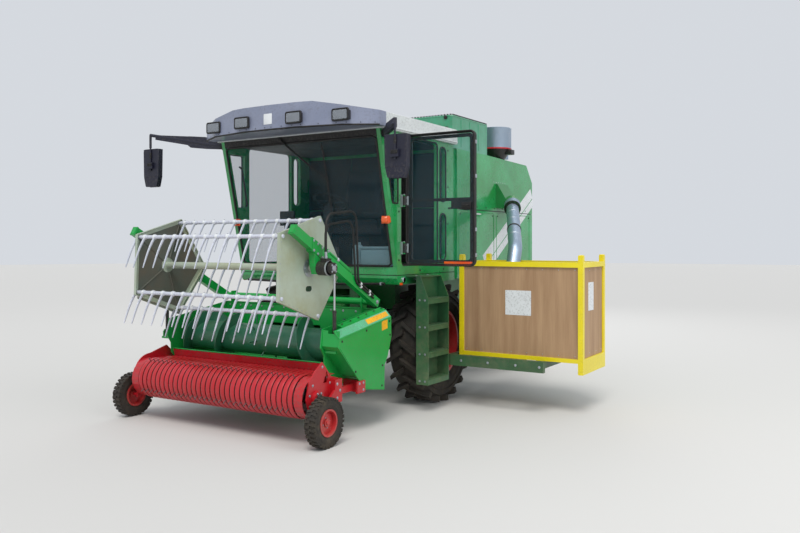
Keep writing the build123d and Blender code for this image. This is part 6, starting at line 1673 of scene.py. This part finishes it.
    def _seat(self) -> None:
        """Build crowned cushions with seams over the seat's frame."""
        for name, low, high, lean in (
            ("seat_cushion", (-0.245, -0.435, 1.885), (0.245, 0.055, 1.935), 0.0),
            ("seat_backrest", (-0.235, 0.030, 2.000), (0.235, 0.080, 2.520), 0.15),
        ):
            kit = self.kit(name)
            flat = name == "seat_cushion"
            middle, span = between(low, high, 0.5), (Vector(high) - Vector(low)) / 2
            top = []
            for row in range(self.crown_steps + 1):
                v = row / self.crown_steps * 2 - 1
                line = []
                for col in range(self.crown_steps + 1):
                    u = col / self.crown_steps * 2 - 1
                    crown = (1 - abs(u) ** 5) * (1 - abs(v) ** 5)
                    seam = 0.008 * math.exp(-((abs(u) - 0.55) / 0.05) ** 2)
                    rise = crown * (0.045 - seam)
                    x = middle.x + u * span.x
                    if flat:
                        line.append((x, middle.y + v * span.y, high[2] + rise))
                    else:
                        z = middle.z + v * span.z
                        line.append((x, low[1] + (z - low[2]) * lean - rise, z))
                top.append(line)
            kit.pad(top, (0, 0, low[2] - high[2]) if flat else (0, 0.06, 0))
            made = kit.finish("seat_fabric", "seat_fabric", smooth=60)

    def _driver_place(self) -> None:
        """Add the monitor, lever, pedals, floor box, canister and grab rails."""
        dark = self.kit("cab_monitor_and_levers")
        dark.box((-0.600, -0.690, 1.880), (-0.400, -0.660, 2.040), 0.008)
        dark.tube([(-0.50, -0.40, 1.930), (-0.50, -0.52, 1.90), (-0.50, -0.66, 1.90)], 0.012, 8)
        dark.tube([(-0.36, -0.20, 1.930), (-0.36, -0.24, 2.10)], (0.010, 0.008), 8)
        dark.lathe([(0, 0.012), (0.02, 0.026), (0.06, 0.028), (0.085, 0.018), (0.09, 0)],
                   (-0.36, -0.24, 2.09), (0, -0.2, 1), 16)
        for x in (-0.12, 0.12, 0.20):
            dark.box((x - 0.035, -0.740, 1.520), (x + 0.035, -0.715, 1.640), 0.005)
            dark.tube([(x, -0.720, 1.540), (x, -0.640, 1.455)], 0.010, 8)
        dark.finish("console_plastic", "console_plastic")
        screen = self.kit("cab_monitor_screen")
        screen.prism(loop_points((-0.588, 1.892), (-0.412, 2.028), 0.006), Axis.Y, -0.660, -0.6585)
        screen.finish("mirror_glass", "console_plastic")
        box = self.kit("cab_floor_box")
        box.box((0.55, -0.78, 1.458), (0.89, -0.60, 1.630), 0.012)
        box.box((0.535, -0.79, 1.630), (0.905, -0.59, 1.654), 0.008)
        box.lathe([(0, 0.062), (0.17, 0.062), (0.20, 0.045), (0.215, 0.025), (0.24, 0.025)],
                  (0.455, -0.68, 1.458), UP, 24)
        box.finish("box_blue", "console_plastic")
        rail = self.kit("cab_grab_rails")
        for side in SIDES:
            rail.tube([(side * 0.965, -0.83, 2.10), (side * 0.935, -0.85, 2.12),
                       (side * 0.935, -0.93, 2.50), (side * 0.965, -0.94, 2.53)], 0.011, 10)
        rail.finish("seal_black", "black_plastic")

    def _fixings(self) -> None:
        """Bolt the frame, clip the sill hose and cover the steering wheel in rubber."""
        bolts = self.kit("cab_frame_bolts")
        for side in SIDES:
            places = ((0.20, 1.50), (0.20, 1.90), (0.20, 2.30), (0.20, 2.70), (-0.81, 1.52),
                      (-0.81, 2.00), (-0.4, 1.41), (0.1, 1.41))
            bolts.bolt_row(side * self.wall_x, places, side, 0.008)
        bolts.finish("cylinder_black", "panel_green")
        hose = self.kit("cab_sill_hose")
        route = [(0.90, -0.868, 1.288), (0.30, -0.872, 1.270), (-0.30, -0.872, 1.276),
                 (-0.90, -0.868, 1.288)]
        hose.tube(route, 0.012, 10)
        hose.finish("hose_rubber", "hose_rubber")
        clips = self.kit("cab_sill_hose_clips")
        for x in (0.86, 0.30, -0.30, -0.86):
            z = 1.270 + x ** 2 * 0.022
            clips.box((x - 0.008, -0.888, z - 0.014), (x + 0.008, -0.842, z + 0.016), 0.003)
        clips.finish("zinc", "hose_rubber")
        wheel = self.kit("steering_wheel_rim")
        up = Vector((0, 0.447, 0.894))
        across = up.cross(Vector(LEFT)).normalized()
        centre = Vector((0, -0.555, 2.131))
        rim = []
        for step in range(self.wheel_steps):
            turn = 2 * math.pi * step / self.wheel_steps
            spoke = Vector(LEFT) * math.cos(turn) + across * math.sin(turn)
            rim.append(centre + spoke * self.wheel_radius)
        wheel.tube(rim, 0.0155, 10, closed=True)
        wheel.lathe([(-0.02, 0.052), (0.006, 0.050), (0.016, 0.034), (0.018, 0)], centre, up, 24)
        wheel.finish("seal_black", "console_plastic")

    def build(self) -> None:
        """Make every piece of the cab."""
        self._seals()
        self._wiper()
        self._lining()
        self._lamps()
        self._visor()
        self._mirrors()
        self._door()
        self._seat()
        self._driver_place()
        self._fixings()


@dataclass
class Body(SubAssembly):
    """Stripes, seams and handles of the panels, tank, cyclone, chute and rear fittings."""

    panel_x: float = 1.000
    stripe_rear: Point = (2.60, 2.42)
    stripe_front: Point = (1.13, 1.54)
    tank_top: float = 3.110
    tooth: float = 0.011
    cyclone: Point = (0.880, 1.750)
    duct_start: Point = (1.245, 1.450, 2.105)
    duct_end: Point = (1.670, 0.560, 1.640)
    lamp_x: float = 0.88
    exhaust: Point = (-0.55, 2.05)
    hitch: Point = (0.0, 2.765)

    def _stripes(self) -> None:
        """Lay the white double stripe across both side panels."""
        stripes = self.kit("panel_stripes")
        start, end = Vector(self.stripe_rear), Vector(self.stripe_front)
        across = Vector((-(end - start).y, (end - start).x)).normalized()
        for side in SIDES:
            x0, x1 = sorted((side * self.panel_x, side * (self.panel_x + 0.0008)))
            for near, far in ((0.0, 0.137), (0.151, 0.243)):
                outline = [start + across * near, end + across * near, end + across * far,
                           start + across * far]
                stripes.prism([tuple(point) for point in outline], Axis.X, x0, x1)
        stripes.finish("white_trim", "panel_green")

    def _panels(self) -> None:
        """Add seams, hatch edges, handles and bolts to the side panels."""
        trims, handles, screws = self.kits("panel_edges", "panel_handles", "panel_screws")
        for side in SIDES:
            for y0, y1, z0, z1 in ((0.52, 1.44, 1.33, 2.05), (1.52, 2.56, 1.42, 2.05)):
                outline = loop_points((y0, z0), (y1, z1), 0.03)
                edge = [(side * (self.panel_x + 0.0005), y, z) for y, z in outline]
                trims.tube(edge, 0.0045, 6, closed=True)
                for y in (y0 + 0.03, y1 - 0.03):
                    for z in (z0 + 0.03, z1 - 0.03):
                        screws.bolt((side * self.panel_x, y, z), (side, 0, 0), 0.007)
            for y in (0.98, 2.04):
                foot, grip, z = side * self.panel_x, side * (self.panel_x + 0.022), 2.030
                handles.tube([(foot, y - 0.06, z), (grip, y - 0.05, z), (grip, y + 0.05, z),
                              (foot, y + 0.06, z)], 0.007, 8)
            x = side * self.panel_x
            trims.tube([(x, 0.472, 1.30), (x, 0.472, 2.745)], 0.006, 6)
            for index in range(9):
                screws.bolt((x, 0.50 + 0.24 * index, 2.115), (side, 0, 0), 0.006)
        trims.finish("panel_green", "panel_green")
        seams = self.kit("panel_seam_lines")
        for side in SIDES:
            seams.side_box(side, (self.panel_x, 0.480, 2.076),
                           (self.panel_x + 0.0012, 2.600, 2.084))
        seams.finish("seal_black", "panel_green")
        handles.finish("white_trim", "panel_green")
        screws.finish("cylinder_black", "panel_green")

    def _tank(self) -> None:
        """Bead and tooth the tank's edge, rib its walls and add the front fittings."""
        rim = self.kit("tank_rim_bead")
        ring = [(x, y, self.tank_top) for x, y in (
            (-0.995, 0.365), (0.995, 0.365), (0.995, 1.245), (-0.995, 1.245))]
        rim.tube(along_sides(ring, (0.01, 0.5, 0.99)), 0.010, 8, closed=True)
        rim.finish("tank_green", "tank_green")
        teeth = self.kit("tank_edge_seal")
        for index in range(52):
            x = -0.975 + index * 1.95 / 51
            teeth.box((x - self.tooth, 0.362, 3.118), (x + self.tooth, 0.370, 3.132), 0.002)
        for side in SIDES:
            for index in range(24):
                y = 0.385 + index * 0.845 / 23
                teeth.side_box(side, (0.992, y - self.tooth, 3.118), (1.000, y + self.tooth, 3.132),
                               0.002)
        teeth.finish("seal_black", "tank_green")
        ribs = self.kit("tank_ribs")
        for side in SIDES:
            for y in (0.58, 0.80, 1.02):
                ribs.side_box(side, (0.998, y - 0.012, 2.78), (1.004, y + 0.012, 3.09), 0.0025)
        for x in (-0.6, -0.2, 0.2, 0.6):
            ribs.box((x - 0.012, 1.247, 2.78), (x + 0.012, 1.255, 3.09), 0.0025)
        ribs.finish("tank_green", "tank_green")
        eyes = self.kit("tank_front_fittings")
        for x, z in ((0.917, 3.095), (0.930, 2.970)):
            eyes.lathe([(0, 0.022), (0.010, 0.022), (0.014, 0.016), (0.015, 0)], (x, 0.360, z),
                       AHEAD, 18)
        eyes.finish("seal_black", "tank_green")

    def _cyclone(self) -> None:
        """Add the cyclone's drum, red ring, rivets and funnel with its box."""
        x, y = self.cyclone
        drum = self.kit("cyclone_drum_skin")
        drum.lathe([(2.868, 0.180), (2.868, 0.196), (2.874, 0.198), (3.128, 0.198), (3.134, 0.202),
                    (3.140, 0.196), (3.128, 0.180)], (x, y, 0), UP, 48)
        drum.finish("duct_metal", "duct_metal")
        red = self.kit("cyclone_red_ring")
        red.lathe([(-0.010, 0.1985), (-0.007, 0.2030), (0.007, 0.2030), (0.010, 0.1985)],
                  (x, y, 2.876), UP, 48)
        red.finish("pickup_red", "duct_metal")
        rivets = self.kit("cyclone_rivets")
        for index in range(9):
            place = (x + 0.1970, y - 0.02, 2.915 + 0.019 * index)
            rivets.lathe(SMALL_RIVET, place, LEFT, HEAD_STEPS)
        for index in range(20):
            turn = 2 * math.pi * index / 20
            out = (math.cos(turn), math.sin(turn), 0)
            place = (x + 0.1975 * out[0], y + 0.1975 * out[1], 3.070)
            rivets.lathe(SMALL_RIVET, place, out, HEAD_STEPS)
        rivets.finish("zinc", "duct_metal")
        funnel = self.kit("cyclone_funnel_cover")
        funnel.lathe([(0.001, 0.078), (0.020, 0.074), (0.026, 0.080), (0.168, 0.190),
                      (0.186, 0.195)], (x, y, 2.680), UP, 36)
        funnel.box((x + 0.150, y - 0.050, 2.800), (x + 0.236, y + 0.060, 2.862), 0.008)
        funnel.finish("motor_black", "duct_metal")

    def _chute(self) -> None:
        """Clamp the discharge duct, add its collar and seams and rivet the chute."""
        start = Vector(self.duct_start)
        run = (Vector(self.duct_end) - start).normalized()
        clamp = self.kit("duct_clamps")
        for along, size in ((-0.012, 0.098), (0.004, 0.080), (0.62, 0.077)):
            clamp.lathe([(-0.012, size - 0.002), (-0.010, size + 0.004), (0.010, size + 0.004),
                         (0.012, size - 0.002)], start + run * along, run, 30)
        clamp.finish("seal_black", "duct_metal")
        collar = self.kit("duct_collar_skin")
        collar.lathe([(-0.120, 0.0965), (-0.118, 0.0985), (-0.020, 0.0985), (-0.018, 0.0965)],
                     start, run, 32)
        collar.finish("duct_metal", "duct_metal")
        folds = self.kit("duct_seams")
        for along in (0.20, 0.42, 0.84):
            folds.lathe([(-0.004, 0.0745), (0, 0.078), (0.004, 0.0745)], start + run * along, run,
                        30)
        folds.finish("zinc", "duct_metal")
        rivets = self.kit("chute_rivets")
        for index in range(6):
            place = (self.panel_x + 0.0005, 1.44 + 0.066 * index, 2.44)
            rivets.lathe(ROUND_SCREW, place, LEFT, HEAD_STEPS)
        rivets.finish("zinc", "body_green")

    def _rear(self) -> None:
        """Fit the rear lamps, hood straps, exhaust and hitch pin."""
        lamps, housings = self.kits("rear_lamps", "rear_lamp_housings")
        for side in SIDES:
            x = side * self.lamp_x
            housings.box((x - 0.07, 2.655, 1.62), (x + 0.07, 2.690, 1.86), 0.01)
            lamps.box((x - 0.058, 2.685, 1.75), (x + 0.058, 2.699, 1.85), 0.006)
        housings.finish("seal_black", "black_plastic")
        lamps.finish("pickup_red", "lamp_plastic")
        amber = self.kit("rear_indicators")
        for side in SIDES:
            x = side * self.lamp_x
            amber.box((x - 0.058, 2.685, 1.632), (x + 0.058, 2.699, 1.74), 0.006)
        amber.finish("lamp_orange", "lamp_plastic")
        straps = self.kit("hood_straps")
        for x in (-0.5, 0.0, 0.5):
            straps.prism([(2.662, 2.262), (2.980, 2.084), (2.978, 2.080), (2.660, 2.256)], Axis.X,
                         x - 0.02, x + 0.02)
        for side in SIDES:
            for z in (1.30, 1.60, 1.90):
                straps.bolt((side * 0.780, 2.70, z), (side, 0, 0), 0.010)
        straps.finish("body_green", "panel_green")
        pipe = self.kit("exhaust_pipe")
        x, y = self.exhaust
        bend = ((y, 2.62), (y, 2.90), (2.06, 2.97), (2.10, 3.03), (2.15, 3.05))
        pipe.tube([(x, *point) for point in bend], 0.045, 20)
        pipe.lathe([(0, 0.075), (0.02, 0.082), (0.16, 0.082), (0.18, 0.075)], (x, y, 2.682), UP, 28)
        pipe.finish("cylinder_black", "engine_block")
        pin = self.kit("hitch_pin")
        pin.lathe([(-0.030, 0.010), (-0.024, 0.0145), (0.050, 0.0145), (0.052, 0.024),
                   (0.062, 0.024)], (*self.hitch, 0.850), UP, 18)
        loop = ((0, 0.908), (0, 0.93), (0.02, 0.95), (0.04, 0.93), (0.04, 0.90))
        pin.tube([(x, self.hitch[1], z) for x, z in loop], 0.005, 8)
        pin.finish("zinc", "frame_paint")

    def build(self) -> None:
        """Make every piece of the body."""
        self._stripes()
        self._panels()
        self._tank()
        self._cyclone()
        self._chute()
        self._rear()


@dataclass
class Access(SubAssembly):
    """Ladder grips, crate screws and labels, chassis, cylinder and carrier fittings."""

    first_tread_z: float = 0.342
    platform_z: float = 1.362
    treads: int = 4
    post_x: Point = (1.305, 2.595)
    post_y: Point = (0.017, 0.665)
    axle: Point = (0.0, 0.63)
    flange_x: float = 0.805
    rail_x: float = 0.500
    kingpin: Point = (0.56, 2.5)

    def _ladder(self) -> None:
        """Stud the treads, bead their front edges and bolt the ladder's cheeks and platform."""
        grips, bolts = self.kits("ladder_tread_grips", "ladder_bolts")
        rise = (self.platform_z - 0.222 - self.first_tread_z) / (self.treads - 1)
        for step in range(self.treads):
            z = self.first_tread_z + step * rise
            for row in range(3):
                for col in range(9):
                    place = (1.185 + 0.034 * row, -0.64 + 0.046 * col, z)
                    grips.lathe(TREAD_STUD, place, UP, HEAD_STEPS)
            for y, out in ((-0.680, -1), (-0.250, 1)):
                for x in (1.19, 1.25):
                    bolts.bolt((x, y, z - 0.016), (0, out, 0), 0.008)
            grips.tube([(1.286, -0.666, z - 0.003), (1.286, -0.264, z - 0.003)], 0.004, 6)
        for y in (-0.58, -0.35):
            bolts.bolt((1.09, y, self.platform_z), UP, 0.010)
        grips.finish("frame_paint", "frame_paint")
        bolts.finish("zinc", "frame_paint")

    def _crate(self) -> None:
        """Screw the crate's panels, cap its posts and fix two blank labels."""
        screws = self.kit("crate_screws")
        for face, out in ((0.008, -1), (0.674, 1)):
            for x in [1.36 + 0.168 * k for k in range(8)]:
                for z in (0.585, 1.425):
                    screws.lathe(FLAT_SCREW, (x, face, z), (0, out, 0), HEAD_STEPS)
        for x, out in ((1.296, -1), (2.604, 1)):
            for y in (0.08, 0.24, 0.44, 0.60):
                for z in (0.60, 1.42):
                    screws.lathe(FLAT_SCREW, (x, y, z), (out, 0, 0), HEAD_STEPS)
        screws.finish("zinc", "plywood")
        labels = self.kit("crate_blank_labels")
        labels.prism(loop_points((1.80, 0.96), (2.08, 1.21), 0.006), Axis.Y, 0.0068, 0.0078)
        labels.prism(loop_points((0.20, 1.02), (0.36, 1.30), 0.006), Axis.X, 2.6042, 2.6052)
        labels.finish("white_trim", "plywood")
        caps = self.kit("crate_post_caps")
        for x in self.post_x:
            for y in self.post_y:
                caps.box((x - 0.024, y - 0.024, 1.556), (x + 0.024, y + 0.024, 1.572), 0.007)
        caps.finish("crate_yellow", "crate_yellow")

    def _chassis(self) -> None:
        """Fit the axle's flange bolts, the rails' bolts, brake lines and kingpin caps."""
        bolts = self.kit("axle_flange_bolts")
        for side in SIDES:
            bolts.bolt_circle(side * self.flange_x, self.axle, 0.088, 8, side, 0.010)
            places = [(y, z) for y in (1.20, 1.60, 2.0, 2.4) for z in (0.86, 0.93)]
            bolts.bolt_row(side * self.rail_x, places, side, 0.010)
        bolts.finish("zinc", "frame_paint")
        lines = self.kit("brake_lines")
        for side in SIDES:
            lines.tube([(side * 0.62, 0.092, 0.69), (side * 0.50, 0.094, 0.72),
                        (side * 0.392, 0.11, 0.84), (side * 0.392, 0.60, 0.86),
                        (side * 0.392, 2.2, 0.86)], 0.006, 8)
        lines.finish("hose_rubber", "frame_paint")
        for side, word in ((1, "left"), (-1, "right")):
            cap = self.kit(f"kingpin_cap_{word}")
            cap.lathe([(0.0, 0.034), (0.010, 0.034), (0.016, 0.022), (0.018, 0)],
                      (side * self.kingpin[0], self.kingpin[1], 0.500), UP, 22)
            cap.bolt((side * self.kingpin[0], 2.62, 0.322), UP, 0.016, 0.012)
            cap.finish("zinc", "frame_paint", f"steer_{word}")

    def _cylinders(self) -> None:
        """Add glands, ports and the rods' eye nuts to the lift cylinders."""
        for name, x, base, eye, size, mouth in (
            ("header", 0.520, (-0.120, 0.620), (-1.165, 0.470), 0.038, 0.606),
            ("reel", 1.045, (-1.890, 0.800), (-1.890, 1.480), 0.017, 0.45),
        ):
            glands = self.kit(f"{name}_cylinder_glands")
            rings = self.kit(f"{name}_rod_eye_nuts")
            for side in SIDES:
                start, end = Vector((side * x, *base)), Vector((side * x, *eye))
                run = (end - start).normalized()
                lip = between(start, end, mouth)
                glands.lathe([(-0.030, size), (-0.028, size * 1.12), (-0.004, size * 1.12),
                              (0.0, size * 0.9)], lip, run, 26)
                port = start + run * (size + 0.045)
                up = Vector((0, -run.z, run.y)) if name == "header" else Vector((0, 1, 0))
                glands.lathe([(size * 0.9, size * 0.34), (size * 1.5, size * 0.34),
                              (size * 1.5, size * 0.24), (size * 1.9, size * 0.24)], port, up, 12)
                rings.lathe([(0, size * 0.62), (size * 0.6, size * 0.62)],
                            end - run * (0.024 + size * 0.9), run, 6)
            glands.finish("cylinder_black", "cylinder_black", f"{name}_barrel")
            rings.finish("zinc", "chrome_rod", f"{name}_rod")

    def _carrier(self) -> None:
        """Bolt the carrier's beams."""
        bolts = self.kit("carrier_bolts")
        bolts.bolt_row(1.250, [(y, 0.475) for y in (-0.16, 0.30, 0.78)], 1, 0.010)
        for x in (1.40, 1.70, 2.0, 2.25):
            bolts.bolt((x, -0.200, 0.485), AHEAD, 0.010)
        bolts.finish("zinc", "frame_paint")

    def build(self) -> None:
        """Make every piece of the access, crate and chassis."""
        self._ladder()
        self._crate()
        self._chassis()
        self._cylinders()
        self._carrier()


def corners(box: tuple[Vector, Vector]) -> list[list[float]]:
    """Turn a box into plain lists of numbers."""
    return [[float(value) for value in corner] for corner in box]


def main() -> None:
    """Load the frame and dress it."""
    logging.basicConfig(level=logging.INFO, format="%(message)s")
    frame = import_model()
    Studio().build()
    shop = Workshop(frame)
    shop.paint_frame()
    LOG.info("painted %d nodes", len(frame["nodes"]))
    for part in (PickUp, WheelSet, Reel, Header, Cab, Body, Access):
        assembly = part(shop)
        assembly.build()
        LOG.info("%s: %d pieces", part.__name__, assembly.count)
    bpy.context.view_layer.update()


if __name__ == "__main__":
    main()
